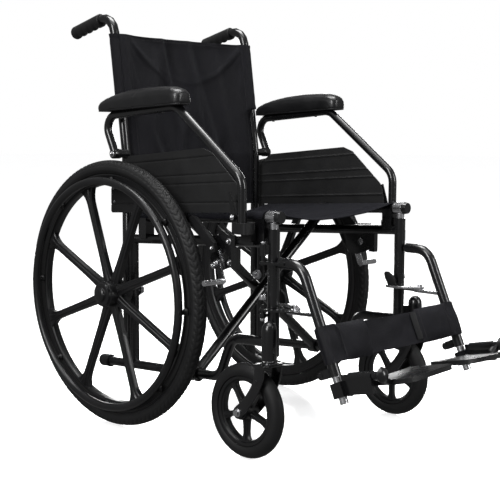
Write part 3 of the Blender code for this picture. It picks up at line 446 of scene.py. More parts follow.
def rounded(points, radius, steps=8):
    """The path through points with every corner turned into an arc of this radius, or a tighter one if it must."""
    points = [Vector(point) for point in points]
    path = [points[0]]
    for before, corner, after in zip(points, points[1:], points[2:]):
        into = (before - corner).normalized()
        out = (after - corner).normalized()
        half = into.angle(out) / 2
        reach = min(radius / tan(half), (before - corner).length / 2, (after - corner).length / 2)
        centre = corner + (into + out).normalized() * (reach / cos(half))
        first = corner + into * reach - centre
        last = corner + out * reach - centre
        for step in range(steps + 1):
            path.append(centre + first.slerp(last, step / steps) * first.length)
    path.append(points[-1])
    return path


def tube(points, radius, sides=24):
    """A round bar along a path."""
    curve = bpy.data.curves.new("shape", "CURVE")
    curve.dimensions = "3D"
    curve.bevel_depth = radius
    curve.bevel_resolution = (sides - 4) // 2
    curve.use_fill_caps = True
    line = curve.splines.new("POLY")
    line.points.add(len(points) - 1)
    for point, place in zip(line.points, points):
        point.co = (*place, 1.0)
    return tidy(evaluated(add("shape", curve)))


def plate(outline, thickness, matrix, bevel):
    """A flat plate with rounded edges, its middle plane at the matrix's own XY plane."""
    low = [matrix @ Vector((x, y, -thickness / 2)) for x, y in outline]
    high = [matrix @ Vector((x, y, thickness / 2)) for x, y in outline]
    made = lofted([low, high])
    change = made.modifiers.new("edge", "BEVEL")
    change.width = bevel
    change.segments = 3
    change.limit_method = "ANGLE"
    change.angle_limit = radians(40)
    return evaluated(made)


def side_plate(outline, inner_x, outer_x, bevel):
    """An upright plate whose outline is given as (y, z)."""
    stand = Matrix(((0, 0, 1, 0), (1, 0, 0, 0), (0, 1, 0, 0), (0, 0, 0, 1)))
    return plate(outline, outer_x - inner_x, Matrix.Translation(((inner_x + outer_x) / 2, 0, 0)) @ stand, bevel)


def level_plate(outline, low, high, bevel=0.0006):
    """A level plate whose outline is given as (x, y)."""
    return plate(outline, high - low, Matrix.Translation((0, 0, (low + high) / 2)), bevel)


def smoothed(obj):
    """One level of subdivision."""
    fine = obj.modifiers.new("fine", "SUBSURF")
    fine.levels = fine.render_levels = 1
    return evaluated(obj)


def settled(obj, cap, frames, stiffness, pinned, pressure=0.0, gravity=0.0):
    """Cloth-simulate a form that is held where pinned gives it weight, under inner pressure or its own weight.

    No point ends further than cap from where it started."""
    rest = np.array([v.co for v in obj.data.vertices], float)
    group = obj.vertex_groups.new(name="held")
    for vertex in obj.data.vertices:
        weight = pinned(vertex.co)
        if weight > 0:
            group.add([vertex.index], weight, "REPLACE")
    cloth = obj.modifiers.new("cloth", "CLOTH")
    settings = cloth.settings
    settings.quality = 6
    settings.mass = 0.3
    settings.tension_stiffness = stiffness
    settings.compression_stiffness = stiffness
    settings.shear_stiffness = stiffness * 0.5
    settings.bending_stiffness = 0.8
    settings.effector_weights.gravity = gravity
    cloth.collision_settings.use_collision = False
    if pressure:
        settings.use_pressure = True
        settings.uniform_pressure_force = pressure
    settings.vertex_group_mass = "held"
    cloth.point_cache.frame_start = 1
    cloth.point_cache.frame_end = frames + 1
    scene = bpy.context.scene
    for step in range(1, frames + 1):
        scene.frame_set(step)
    made = evaluated(obj)
    scene.frame_set(1)
    moved = np.array([v.co for v in made.data.vertices], float)
    if len(moved) == len(rest):
        shift = moved - rest
        far = np.linalg.norm(shift, axis=1, keepdims=True)
        moved = rest + shift * np.minimum(1.0, cap / np.maximum(far, 1e-9))
        made.data.vertices.foreach_set("co", moved.astype(np.float32).ravel())
    return made


def merged(*shapes):
    """The shapes as one mesh object; they stay separate shells."""
    shape = bmesh.new()
    for source in shapes:
        shape.from_mesh(source.data)
        bpy.data.objects.remove(source, do_unlink=True)
    return mesh_of(shape)


def dressed(name, obj, look, body, replaced=(), angle=35):
    """Name the piece, count its Y from the frame's origin, and let it ride on its body."""
    obj.name = name
    obj.data.name = name
    obj.data.materials.clear()
    obj.data.materials.append(look)
    obj.data.transform(Matrix.Translation((0, AXLE_Y, 0)))
    obj.data.shade_smooth()
    obj.data.set_sharp_from_angle(angle=radians(angle))
    if replaced:
        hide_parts(*replaced)
    if body:
        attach(obj, body)
    return obj


def pair(name, obj, look, body, replaced=(), angle=35):
    """The left piece and its mirror image; body and node names take the side's own ending."""
    twin = add("shape", obj.data.copy())
    twin.data.transform(Matrix.Scale(-1, 4, (1, 0, 0)))
    twin.data.flip_normals()
    made = []
    for side, shape in (("left", obj), ("right", twin)):
        nodes = [f"{node}_{side}" for node in replaced]
        made.append(dressed(f"{name}_{side}", shape, look, f"{body}_{side}", nodes, angle))
    return made


# ---- the CAD nodes that stay ------------------------------------------------------------------------------

CHROME_NODES = ("axle", "caster_axle", "brake_shoe", "leg_tube", "seat_post", "brace_bolt")
CAD_LOOKS = {**dict.fromkeys(CHROME_NODES, CHROME), "arm_socket": PLASTIC, "brake_lever": PLASTIC,
             "footplate": STEP_PLASTIC}


def soften_cad():
    """Smooth shading on every CAD node, with its own sharp edges kept."""
    for name, node in frame["nodes"].items():
        mesh = node.data
        if mesh.attributes.get("custom_normal"):
            mesh.attributes.remove(mesh.attributes["custom_normal"])
        mesh.polygons.foreach_set("use_smooth", [True] * len(mesh.polygons))
        weld = node.modifiers.new("weld", "WELD")
        weld.merge_threshold = 0.00001
        split = node.modifiers.new("split", "EDGE_SPLIT")
        split.split_angle = radians(33)
        mesh.materials.clear()
        mesh.materials.append(CAD_LOOKS.get(name.removesuffix("_left").removesuffix("_right"), PAINT))


soften_cad()


# ---- wheels -----------------------------------------------------------------------------------------------

def spoke_half(r):
    """Half width of a rear wheel spoke at radius r: it widens at the hub and again at the rim."""
    flare = max(0.0, (r - 0.212) / 0.039)
    return 0.0092 + 0.0062 * exp(-(r - 0.024) / 0.03) + 0.0155 * flare ** 2.3


def spoke(angle, centre, start, end, half, thick, ridge, count=26):
    """A moulded spoke with a raised middle ridge, from radius start to end about centre (x, y, z)."""
    x, y, z = centre
    rings = []
    for step in range(count + 1):
        r = start + (end - start) * step / count
        w = half(r)
        front = ((-1, -thick), (-1, thick * 0.75), (-0.9, thick), (-0.42, thick), (-0.26, ridge), (0.26, ridge),
                     (0.42, thick), (0.9, thick), (1, thick * 0.75), (1, -thick))
        back = ((0.42, -thick), (0.26, -ridge), (-0.26, -ridge), (-0.42, -thick))
        ring = []
        for across, height in front + back:
            c = across * w
            ring.append((x + height, y + r * sin(angle) + c * cos(angle),
                         z + r * cos(angle) - c * sin(angle)))
        rings.append(ring)
    return lofted(rings)


def rear_wheel():
    """Moulded wheel: box rim, hub and spokes."""
    centre = (WHEEL_X, 0, WHEEL_R)
    rim = turned(both_faces([
        (0.2748, 0.0105), (0.2742, 0.0121), (0.2728, 0.0125), (0.2706, 0.0121), (0.2695, 0.0106), (0.264, 0.0092),
        (0.26, 0.0094), (0.258, 0.0108), (0.2556, 0.0112), (0.252, 0.0098), (0.2494, 0.008), (0.249, 0.006),
    ]), spin_axis(*centre), 160, ring=True)
    hub = turned([
        (0.0, 0.322), (0.009, 0.3218), (0.014, 0.3206), (0.0162, 0.3184), (0.0166, 0.315), (0.0176, 0.3138),
        (0.0236, 0.3134), (0.0262, 0.3122), (0.0272, 0.3096), (0.0274, 0.306), (0.0294, 0.3054), (0.03, 0.3036),
        (0.03, 0.258), (0.0292, 0.2556), (0.0262, 0.242), (0.025, 0.2402), (0.0075, 0.24), (0.0075, 0.25),
        (0.0, 0.25),
    ], spin_axis(0, 0, WHEEL_R), 72)
    parts = [rim, hub]
    for index in range(SPOKES):
        angle = SPOKE_PHASE + 2 * pi * index / SPOKES
        parts.append(spoke(angle, (WHEEL_X + 0.003, 0, WHEEL_R), 0.024, 0.2515, spoke_half, 0.0062, 0.0084))
    return merged(*parts)


def tread_height(turn, section):
    """Depth cut into the tyre at this angle round the wheel and this angle round its section."""
    lean = abs(section)
    if lean < 0.17:
        return 0.0
    if lean < 0.24:
        return -0.0012
    if lean > 1.28:
        return 0.0
    wave = (turn * 120 / (2 * pi) + (0.9 if lean < 0.68 else -0.9) * (lean - 0.68) * 1.6
            + (0.5 if section < 0 else 0.0)) % 1.0
    groove = 1.0 if wave < 0.28 else 0.0
    if 0.62 < lean < 0.7 or lean > 1.2:
        groove = max(groove, 0.6)
    return -0.0017 * groove


def tyre_mesh(centre, radius, minor, seat, steps, sides, tread=None):
    """A tyre about centre: radius to its section's middle, minor of its section, seat where it meets the rim."""
    x, y, z = centre
    rings = []
    for step in range(steps + 1):
        turn = 2 * pi * (step % steps) / steps
        ring = []
        for k in range(sides):
            section = 2 * pi * (k + 0.5) / sides - pi
            r = minor + (tread(turn, section) if tread else 0.0)
            if tread and 1.75 < abs(section) < 1.95:
                r += 0.0004
            out = max(radius + r * cos(section), seat)
            ring.append((x + r * sin(section), y + out * sin(turn), z + out * cos(turn)))
        rings.append(ring)
    return lofted(rings, caps=False)


def handrim():
    """Push rim on stand-offs, one between each two spokes."""
    section = [(HANDRIM_R + 0.009 * c, 0.009 * s) for c, s in circle(20)]
    hoop = turned(section, spin_axis(HANDRIM_X, 0, WHEEL_R), 180, ring=True)
    parts = [hoop]
    for index in range(SPOKES):
        angle = SPOKE_PHASE + pi / SPOKES + 2 * pi * index / SPOKES
        y = (HANDRIM_R + 0.002) * sin(angle)
        z = WHEEL_R + (HANDRIM_R + 0.002) * cos(angle)
        x0 = WHEEL_X + 0.0118
        parts.append(turned([(0, 0), (0.0085, 0), (0.0085, 0.002), (0.0062, 0.0045), (0.0052, 0.01),
                             (0.0056, 0.018), (0.0066, 0.026), (0, 0.027)],
                            along((x0, y, z), (x0 + 1, y, z)), 20))
    return merged(*parts)


def caster_spoke_half(r):
    return 0.0056 + 0.0042 * exp(-(r - 0.012) / 0.012) + 0.0062 * max(0.0, (r - 0.046) / 0.018) ** 2


def caster_wheel():
    """Moulded five-spoke caster."""
    y, z = CASTER_AXLE
    centre = (CASTER_X, y, z)
    rim = turned(both_faces([
        (0.0738, 0.0112), (0.0728, 0.0122), (0.069, 0.0122), (0.0668, 0.0112), (0.065, 0.0078), (0.0625, 0.007),
        (0.062, 0.005),
    ]), spin_axis(*centre), 96, ring=True)
    hub = turned([
        (0.0115, 0.022), (0.015, 0.0216), (0.0162, 0.02), (0.018, 0.012), (0.0182, 0.0), (0.018, -0.012),
        (0.0162, -0.02), (0.015, -0.0216), (0.0115, -0.022), (0.0105, -0.019), (0.0105, 0.019),
    ], spin_axis(*centre), 48, ring=True)
    parts = [rim, hub]
    for index in range(5):
        angle = 2 * pi * (index + 0.5) / 5
        parts.append(spoke(angle, centre, 0.015, 0.0636, caster_spoke_half, 0.0056, 0.0078, 14))
    return merged(*parts)


def caster_fork():
    """Crown and two curved legs that sweep back to the axle."""
    y, z = CASTER_AXLE
    sweep = ((0.002, 0.205, 0.0128), (0.0022, 0.196, 0.0127), (0.0032, 0.185, 0.0125), (0.0062, 0.1725, 0.0121),
             (0.0115, 0.16, 0.0118), (0.019, 0.1475, 0.0116), (0.0285, 0.1345, 0.0115), (0.0395, 0.122, 0.0116))
    path = [(CASTER_Y + back, pz, w) for back, pz, w in sweep] + [(y - 0.011, 0.1105, 0.0122), (y, z, 0.013)]
    left, right = [], []
    for i, (py, pz, w) in enumerate(path):
        before, after = path[max(i - 1, 0)], path[min(i + 1, len(path) - 1)]
        run = Vector((after[0] - before[0], after[1] - before[1])).normalized()
        side = Vector((-run.y, run.x)) * w
        left.append((py + side.x, pz + side.y))
        right.append((py - side.x, pz - side.y))
    down = Vector((path[-1][0] - path[-2][0], path[-1][1] - path[-2][1])).normalized()
    start = atan2(down.y, down.x)
    nose = [(y + 0.013 * cos(start + a), z + 0.013 * sin(start + a))
            for a in (1.2, 0.8, 0.4, 0.0, -0.4, -0.8, -1.2)]
    outline = left + nose + list(reversed(right))
    legs = [side_plate(outline, CASTER_X - 0.029, CASTER_X - 0.0238, 0.0016),
            side_plate(outline, CASTER_X + 0.0238, CASTER_X + 0.029, 0.0016)]
    corners = ((-1, -0.013), (-0.6, -0.0175), (0.6, -0.0175), (1, -0.013), (1, 0.021), (-1, 0.021))
    crown_outline = [(CASTER_X + sx * 0.029, CASTER_Y + sy) for sx, sy in corners]
    crown = plate(crown_outline, 0.005, Matrix.Translation((0, 0, 0.2055)), 0.0018)
    nut = post(CASTER_X, CASTER_Y, 0.208, 0.2115, 0.0125, 40)
    pin = rod((CASTER_X + 0.0285, CASTER_Y + 0.009, 0.173), (CASTER_X + 0.03, CASTER_Y + 0.009, 0.173),
              0.0036, 20)
    stem = post(CASTER_X, CASTER_Y, 0.211, 0.2148, 0.0065, 24)
    return merged(*legs, crown, nut, pin, stem)


pair("wheel_moulding", rear_wheel(), MAG, "rear_wheel", ["wheel"], 32)
pair("treaded_tyre", tyre_mesh((WHEEL_X, 0, WHEEL_R), WHEEL_R - TYRE_R, TYRE_R, 0.2752, 1056, 52, tread_height),
     TYRE, "rear_wheel", ["tyre"], 60)
pair("handrim_hoop", handrim(), MAG, "rear_wheel", ["handrim"])
pair("caster_moulding", caster_wheel(), MAG, "caster", ["caster_wheel"], 32)
pair("caster_tread", tyre_mesh((CASTER_X, *CASTER_AXLE), CASTER_R - 0.0165, 0.0165, 0.0739, 120, 28),
     TYRE, "caster", ["caster_tyre"])
pair("fork_legs", caster_fork(), TUBE_PAINT, "fork", ["caster_fork"])


# ---- grips and end caps -----------------------------------------------------------------------------------

CANE_PATH = [Vector((FRAME_X, CANE_Y, lower_rail_z(CANE_Y))), Vector((FRAME_X, CANE_Y, 0.62)),
             Vector((FRAME_X, 0.07, 0.946)), Vector((FRAME_X, 0.206, 0.913))]


FINGERS = 4


def grip():
    """Rubber grip, round on top, with a wave underneath for each finger and fine ribs at its sides."""
    length = 0.108
    back = (CANE_PATH[3] - CANE_PATH[2]).normalized()
    start = CANE_PATH[3] - back * (length - 0.012)
    across = Vector((1, 0, 0))
    up = across.cross(back).normalized()
    rings = []
    steps, sides = 110, 40
    ends = [(0.0, 0.0118), (0.0, 0.0135), (0.0008, 0.0146), (0.0022, 0.015)]
    tail = [(length - 0.005, 0.0143), (length - 0.002, 0.0128), (length - 0.0004, 0.01), (length, 0.006)]
    body = [(0.0022 + (length - 0.0072) * i / steps, 0.0149) for i in range(1, steps)]
    for s, r in ends + body + tail:
        wave = 0.0
        if 0.01 < s < length - 0.01:
            share = (s - 0.01) / (length - 0.02)
            wave = (0.5 - 0.5 * cos(2 * pi * FINGERS * share)) * min(1.0, 12 * share, 12 * (1 - share))
        ring = []
        for c, up_share in circle(sides):
            under = max(0.0, -up_share) ** 1.5
            radius = r + 0.0012 * under - 0.003 * wave * under
            if r > 0.0148 and int(s / 0.0022) % 2 == 0 and abs(c) > 0.55:
                radius -= 0.00035
            ring.append(start + back * s + across * radius * c + up * radius * up_share)
        rings.append(ring)
    return lofted(rings)


pair("hand_grip", grip(), RUBBER, "frame", ["grip"], 50)


def tip_cap():
    """Rubber cap on the rear end of the lower rail."""
    back = Vector((0, 1, -0.057)).normalized()
    start = Vector((FRAME_X, 0.087, lower_rail_z(0.087)))
    profile = [(0.0112, 0.0), (0.0138, 0.0002), (0.015, 0.0014), (0.015, 0.006), (0.0145, 0.0068),
               (0.0145, 0.029), (0.0136, 0.032), (0.0112, 0.0336), (0.0, 0.034)]
    return turned(profile, along(start, start + back), 40)


pair("end_cap", tip_cap(), RUBBER, "frame", ["tip_cap"])


# ---- armrests ---------------------------------------------------------------------------------------------

def pad_half(s):
    """Half width of the arm pad against distance from its front end: both ends are rounded in plan."""
    nose, tail, half = 0.026, 0.016, 0.0265
    if s < nose:
        return half * (0.52 + 0.48 * sqrt(max(0.0, 1 - (1 - s / nose) ** 2)))
    if s > PAD_LENGTH - tail:
        t = (s - (PAD_LENGTH - tail)) / tail
        return half * (0.55 + 0.45 * sqrt(max(0.0, 1 - t * t)))
    return half


def pad_depth(share):
    """Depth of the pad at its middle against the share of its length from the front."""
    depths = ((0.0, 0.0235), (0.03, 0.031), (0.1, 0.0375), (0.22, 0.0405), (0.4, 0.042), (0.65, 0.0395),
              (0.8, 0.0345), (0.9, 0.0285), (0.96, 0.022), (1.0, 0.014))
    return float(np.interp(share, [d[0] for d in depths], [d[1] for d in depths]))


def pad_floor(y):
    """Height of the pad's flat underside at y."""
    return PAD_FRONT_Z + (PAD_BACK_Z - PAD_FRONT_Z) * (y - PAD_FRONT) / PAD_LENGTH


def arm_pad():
    """Foam pad under vinyl: level sides, domed top that falls to its ends, sealed to a base plate."""
    rings = []
    count = 64
    for i in range(count + 1):
        s = PAD_LENGTH * (0.5 - 0.5 * cos(pi * i / count))
        y = PAD_FRONT + s
        base = PAD_FRONT_Z + (PAD_BACK_Z - PAD_FRONT_Z) * s / PAD_LENGTH
        half = pad_half(s) - 0.001
        crown = pad_depth(s / PAD_LENGTH)
        side = crown * 0.52
        shoulder = [(u, side + (crown - side) * lift) for u, lift in ((0.86, 0.55), (0.62, 0.84), (0.32, 0.97))]
        section = [(u, 0.0) for u in (-1.0, -0.5, 0.0, 0.5, 1.0)] + [(1.0, side * 0.5), (1.0, side)] + shoulder
        section += [(0.0, crown)] + [(-u, h) for u, h in reversed(shoulder)] + [(-1.0, side), (-1.0, side * 0.5)]
        rings.append([(PAD_X + u * half, y, base + h) for u, h in section])
    pad = lofted(rings)
    remesh = pad.modifiers.new("even", "REMESH")
    remesh.mode = "VOXEL"
    remesh.voxel_size = 0.0036
    pad = settled(evaluated(pad), 0.0022, 12, 18.0, lambda co: 1.0 if co.z < pad_floor(co.y) + 0.003 else 0.0,
                  pressure=3.0)
    return smoothed(pad)


def pad_base():
    """Moulded base plate under the pad, with the seam bead that holds the vinyl."""
    left, right = [], []
    count = 40
    for i in range(count + 1):
        s = PAD_LENGTH * (0.5 - 0.5 * cos(pi * i / count))
        half = pad_half(s) - 0.0022
        y = PAD_FRONT + s + (0.0016 if i == 0 else -0.0016 if i == count else 0)
        left.append((PAD_X - half, y))
        right.append((PAD_X + half, y))
    outline = left + list(reversed(right))
    tilt = Matrix.Rotation(atan((PAD_BACK_Z - PAD_FRONT_Z) / PAD_LENGTH), 4, "X")
    middle = Vector((0, (PAD_FRONT + PAD_BACK) / 2, (PAD_FRONT_Z + PAD_BACK_Z) / 2 - 0.0004))
    shift = Matrix.Translation(middle) @ tilt @ Matrix.Translation((0, -middle.y, 0))
    return plate(outline, 0.004, shift, 0.0008)


for made in pair("arm_pad_foam", arm_pad(), VINYL, "armrest", ["arm_pad"], 60):
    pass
pair("arm_pad_base", pad_base(), PLASTIC, "armrest")

ARM_PATH = rounded([(ARM_X, 0.019, 0.628), (ARM_X, 0.059, 0.7095), (ARM_X, -0.195, 0.7286),
                    (ARM_X, -0.3925, 0.578), (ARM_X, -0.3925, 0.474)], 0.045, 14)


def arm_tube():
    """Bent arm tube with the eye that it lifts about."""
    loop = tube(ARM_PATH, 0.0095, 28)
    eye = rod((0.2394, *ARM_PIVOT), (ARM_X + 0.006, *ARM_PIVOT), 0.0115, 36, 0.0012)
    return merged(loop, eye)


pair("arm_loop", arm_tube(), TUBE_PAINT, "armrest", ["arm_tube"])
pivot_nut = merged(dome_nut((ARM_X + 0.006, *ARM_PIVOT), (1, 0, 0), 0.0052),
                   rod((FRAME_X - 0.004, *ARM_PIVOT), (FRAME_X + 0.03, *ARM_PIVOT), 0.0039, 20))
pair("arm_pivot_bolt", pivot_nut, CHROME, "armrest")
screws = merged(*[rod((ARM_X, y, z - 0.0114), (ARM_X, y, z - 0.0085), 0.003, 20)
                  for y, z in ((-0.15, 0.7252), (-0.005, 0.7143))])
pair("pad_screws", screws, TUBE_PAINT, "armrest")


def guard_edges(y):
    """(low, high) height of the skirt guard at y, away from its cut corners."""
    top = 0.619 + (0.64 - 0.619) * (-0.012 - y) / 0.244
    low = 0.4865 + (0.509 - 0.4865) * (0.053 - y) / 0.435
    return low, top


def skirt_guard():
    """Grained board with pressed grooves along it, and a folded top edge."""
    outline = [(0.053, 0.486), (0.057, 0.49), (0.056, 0.56), (0.005, 0.606), (-0.012, 0.619),
               (-0.256, 0.64), (-0.285, 0.63), (-0.37, 0.556), (-0.378, 0.54), (-0.382, 0.509)]
    board = grid_sheet(lambda u, v: (0, -0.385 + 0.445 * u, 0.483 + 0.161 * v), 150, 110)
    shape = bmesh.new()
    shape.from_mesh(board.data)
    bpy.data.objects.remove(board)
    for (y0, z0), (y1, z1) in zip(outline, outline[1:] + outline[:1]):
        outward = Vector((0, -(z1 - z0), (y1 - y0)))
        middle = Vector((0, -0.15 - y0, 0.56 - z0))
        if outward.dot(middle) > 0:
            outward = -outward
        bmesh.ops.bisect_plane(shape, geom=shape.verts[:] + shape.edges[:] + shape.faces[:],
                               plane_co=(0, y0, z0), plane_no=outward.normalized(), clear_outer=True)
    grooves = (0.135, 0.405, 0.545, 0.85)
    for vertex in shape.verts:
        low, top = guard_edges(vertex.co.y)
        share = (vertex.co.z - low) / (top - low)
        depth = 0.0
        for groove in grooves:
            away = abs(share - (1 - groove)) * (top - low)
            depth = max(depth, bell(away, 0.0016))
        if share > 1 - 0.135:
            depth -= 0.35
        vertex.co.x = GUARD_FACE_X - 0.0008 - 0.0015 * depth
    panel = tidy(mesh_of(shape))
    solid = panel.modifiers.new("solid", "SOLIDIFY")
    solid.thickness = 0.0026
    solid.offset = 0.0
    panel = evaluated(panel)
    panel.data.transform(Matrix.Translation((-0.0012, 0, 0)))
    return tidy(panel)


def guard_fixings():
    """Rivets at the guard's rear foot and along its front edge."""
    spots = [(0.046, 0.512), (0.049, 0.543), (-0.369, 0.533)]
    return merged(*[turned([(0.004, -0.0004), (0.0038, 0.0006), (0.0024, 0.0012), (0, 0.0014)],
                           along((GUARD_FACE_X - 0.001, y, z), (GUARD_FACE_X + 1, y, z)), 20) for y, z in spots])


pair("guard_board", skirt_guard(), GUARD, "armrest", ["skirt_guard"])
pair("guard_rivets", guard_fixings(), ZINC, "armrest")


pair("catch_bolt", dome_nut((ARM_X + 0.0085, -0.371, 0.5), (1, 0, 0), 0.0042, 0.0055), CHROME, "arm_catch")


# ---- wheel locks, hinges and other small metalwork --------------------------------------------------------

def coil_spring(start, end, radius, wire, turns):
    matrix = along(start, end)
    length = (Vector(end) - Vector(start)).length
    count = turns * 14
    points = []
    for i in range(count + 1):
        angle = 2 * pi * turns * i / count
        points.append(matrix @ Vector((radius * cos(angle), radius * sin(angle), length * i / count)))
    return tube(points, wire, 8)


lock_nuts = [dome_nut(at, (1, 0, 0), size) for at, size in (
    ((0.2311, -0.33, 0.445), 0.005), ((0.2311, -0.333, 0.4), 0.005),
    ((0.2311, -0.283, 0.39), 0.0046), ((0.2392, -0.3, 0.398), 0.0046))]
pair("lock_nuts", merged(*lock_nuts), CHROME, "frame")
pair("lock_pivot_nut", dome_nut((0.25, -0.3, 0.43), (1, 0, 0), 0.0046), CHROME, "frame")
pair("lock_spring", coil_spring((0.2365, -0.32, 0.404), (0.2365, -0.306, 0.426), 0.004, 0.0007, 7), ZINC,
     "frame")


def hinge_nuts():
    """Nuts above and below the hanger's hinge pins, and the cone between them."""
    x, y = 0.238, -0.436
    parts = [post(x, y, 0.4485, 0.453, 0.0052, 6, 0.0003),
             post(x, y, 0.2905, 0.2955, 0.0052, 6, 0.0003),
             turned([(0, 0), (0.0078, 0), (0.008, 0.001), (0.0066, 0.0095), (0.006, 0.01), (0, 0.01)],
                    along((x, y, 0.3345), (x, y, 0.3445)), 32)]
    return merged(*parts)


pair("hinge_hardware", hinge_nuts(), CHROME, "frame")


def latch_paddle():
    """Ribbed thumb paddle of the hanger release."""
    outline = [(-0.456, 0.3195), (-0.456, 0.336), (-0.45, 0.344), (-0.434, 0.354), (-0.427, 0.354),
               (-0.424, 0.35), (-0.4262, 0.34), (-0.438, 0.3195)]
    ribs = [rod((0.1838, y, z), (0.1912, y, z), 0.0009, 10, 0.0002)
            for y, z in ((-0.447, 0.3455), (-0.442, 0.3488), (-0.437, 0.352))]
    return merged(side_plate(outline, 0.1842, 0.1908, 0.0012), *ribs)


def latch_arm():
    """Bright lever that the paddle turns, with its pivot and a rivet."""
    outline = [(0.22, -0.513), (0.208, -0.513), (0.189, -0.478), (0.184, -0.456), (0.184, -0.43),
               (0.1918, -0.43), (0.193, -0.456), (0.197, -0.47)]
    arm = level_plate(outline, 0.3172, 0.3232)
    return merged(arm, post(0.214, -0.505, 0.3172, 0.328, 0.0056, 24),
                  post(0.199, -0.488, 0.3225, 0.3262, 0.0034, 20))


def strap_channel():
    """Bright channel round the straight part of the hanger's lower strap."""
    front, back = -0.5575, -0.495
    face = [(0.2068, front), (0.2232, front), (0.2296, back), (0.2068, back)]
    inner = [(0.205, front), (0.2068, front), (0.2068, back), (0.205, back)]
    return merged(level_plate(face, 0.316, 0.3169, 0.0002), level_plate(face, 0.3105, 0.312, 0.0002),
                  level_plate(inner, 0.3105, 0.3169, 0.0002))


pair("latch_paddle", latch_paddle(), PLASTIC, "hanger_release", ["hanger_latch"])
pair("latch_arm", latch_arm(), CHROME, "hanger_release")
pair("strap_channel", strap_channel(), CHROME, "leg_hanger")


def axle_hardware():
    """Washer and pin end where the axle comes through the frame."""
    washer = turned([(0, 0), (0.0125, 0), (0.0125, 0.0016), (0, 0.0016)],
                    along((0.2035, 0, WHEEL_R), (0.2, 0, WHEEL_R)), 32)
    return merged(washer, rod((0.193, 0, WHEEL_R), (0.1895, 0, WHEEL_R), 0.005, 20))


pair("axle_washer", axle_hardware(), ZINC, "frame")

far_point = (CASTER_X + 1, *CASTER_AXLE)
caster_bolts = merged(
    turned([(0, 0.005), (0.003, 0.0048), (0.0055, 0.0036), (0.0066, 0.0014), (0.0068, 0.0), (0, 0.0)],
           along((CASTER_X + 0.0294, *CASTER_AXLE), far_point), 32),
    turned([(0, 0.001), (0.0085, 0.001), (0.0088, 0.0), (0, 0.0)],
           along((CASTER_X + 0.029, *CASTER_AXLE), far_point), 32),
)
pair("caster_bolt_cap", caster_bolts, CHROME, "fork")

stem_nut = merged(
    post(CASTER_X, CASTER_Y, 0.2116, 0.2144, 0.0102, 40),
    turned([(0.007, 0.2086), (0.015, 0.2088), (0.0152, 0.2096), (0.007, 0.21)],
           Matrix.Translation((CASTER_X, CASTER_Y, 0)), 40),
)
pair("stem_washers", stem_nut, CHROME, "fork")


# ---- cloth ------------------------------------------------------------------------------------------------

def thickened(obj, thickness, offset=-1.0):
    """Gives a sheet its thickness: behind its face at offset -1, on both sides at 0."""
    solid = obj.modifiers.new("solid", "SOLIDIFY")
    solid.thickness = thickness
    solid.offset = offset
    solid.use_even_offset = False
    return evaluated(obj)


def stitches(points, normal, length=0.0032, gap=0.0018, radius=0.00035):
    """A row of sewn stitches along a line of points, lifted a hair along normal."""
    points = [Vector(p) for p in points]
    total = [0.0]
    for a, b in zip(points, points[1:]):
        total.append(total[-1] + (b - a).length)

    def at(s):
        return Vector([np.interp(s, total, axis) for axis in zip(*points)])

    shapes = []
    s = gap
    lift = Vector(normal).normalized()
    while s + length < total[-1]:
        a, m, b = at(s), at(s + length / 2), at(s + length)
        rings = []
        for place, high, r in ((a, -0.0001, radius * 0.5), (a.lerp(m, 0.4), radius * 0.9, radius),
                               (m, radius * 1.1, radius), (b.lerp(m, 0.4), radius * 0.9, radius),
                               (b, -0.0001, radius * 0.5)):
            run = (b - a).normalized()
            side = run.cross(lift).normalized()
            rings.append([place + lift * high + side * r * cos(t) + lift * r * sin(t)
                          for t in (0, 1.257, 2.513, 3.77, 5.027)])
        shapes.append(lofted(rings))
        s += length + gap
    return merged(*shapes)


def cut_from(sheet, keep):
    """Copy of a sheet with only the faces whose middle passes keep."""
    form = bmesh.new()
    form.from_mesh(sheet.data)
    dropped = [face for face in form.faces if not keep(face.calc_center_median())]
    bmesh.ops.delete(form, geom=dropped, context="FACES")
    return mesh_of(form)


def back_front(x, z):
    """Front face of the back panel, before its creases: slack in the middle, with a sewn line and a rolled edge
    in front of each sleeve, and falling back beside each bare cane."""
    bow = 0.0085 * max(0.0, 1 - (x / 0.1985) ** 2)
    seam = 0.0042 * bell(abs(x) - 0.183, 0.0026)
    roll = 0.0034 * bell(abs(x) - 0.199, 0.0085)
    on_sleeve = clamped((z - 0.725) / 0.01)
    edge = clamped((abs(x) - 0.17) / 0.034) ** 2
    return cane_y(z) - 0.015 + bow + (seam - roll) * on_sleeve + 0.011 * edge * (1 - on_sleeve)


def back_creases(x, z):
    """Soft upright folds in the back cloth, strongest under the top edge."""
    fold = 0.0
    for centre, lean, width, depth, low, high in (
            (-0.055, 0.16, 0.011, 0.0046, 0.7, 0.91), (0.022, 0.1, 0.016, 0.0056, 0.66, 0.91),
            (0.052, 0.22, 0.012, 0.004, 0.58, 0.8), (-0.125, -0.22, 0.02, 0.004, 0.6, 0.9),
            (0.11, 0.12, 0.018, 0.0032, 0.62, 0.88), (-0.02, -0.3, 0.015, 0.0034, 0.53, 0.7),
            (0.085, -0.2, 0.016, 0.0034, 0.52, 0.66), (-0.15, 0.35, 0.013, 0.0036, 0.52, 0.66)):
        axis = centre - lean * (z - 0.72)
        body = bell(x - axis, width) - 0.55 * bell(x - axis - width * 1.7, width * 1.2)
        mid = (low + high) / 2
        reach = exp(-((z - mid) / ((high - low) * 0.55)) ** 4)
        fold += depth * body * reach
    ripple = noise.noise(Vector((x * 14, z * 9, 3.1))) * 0.0016 + noise.noise(Vector((x * 45, z * 30, 7.7))) * 0.0003
    return -(fold + ripple)


def creases_at(x, z, start, width):
    """The back's creases, fading out over width beyond start from the middle."""
    return back_creases(x, z) * (1 - clamped((abs(x) - start) / width))


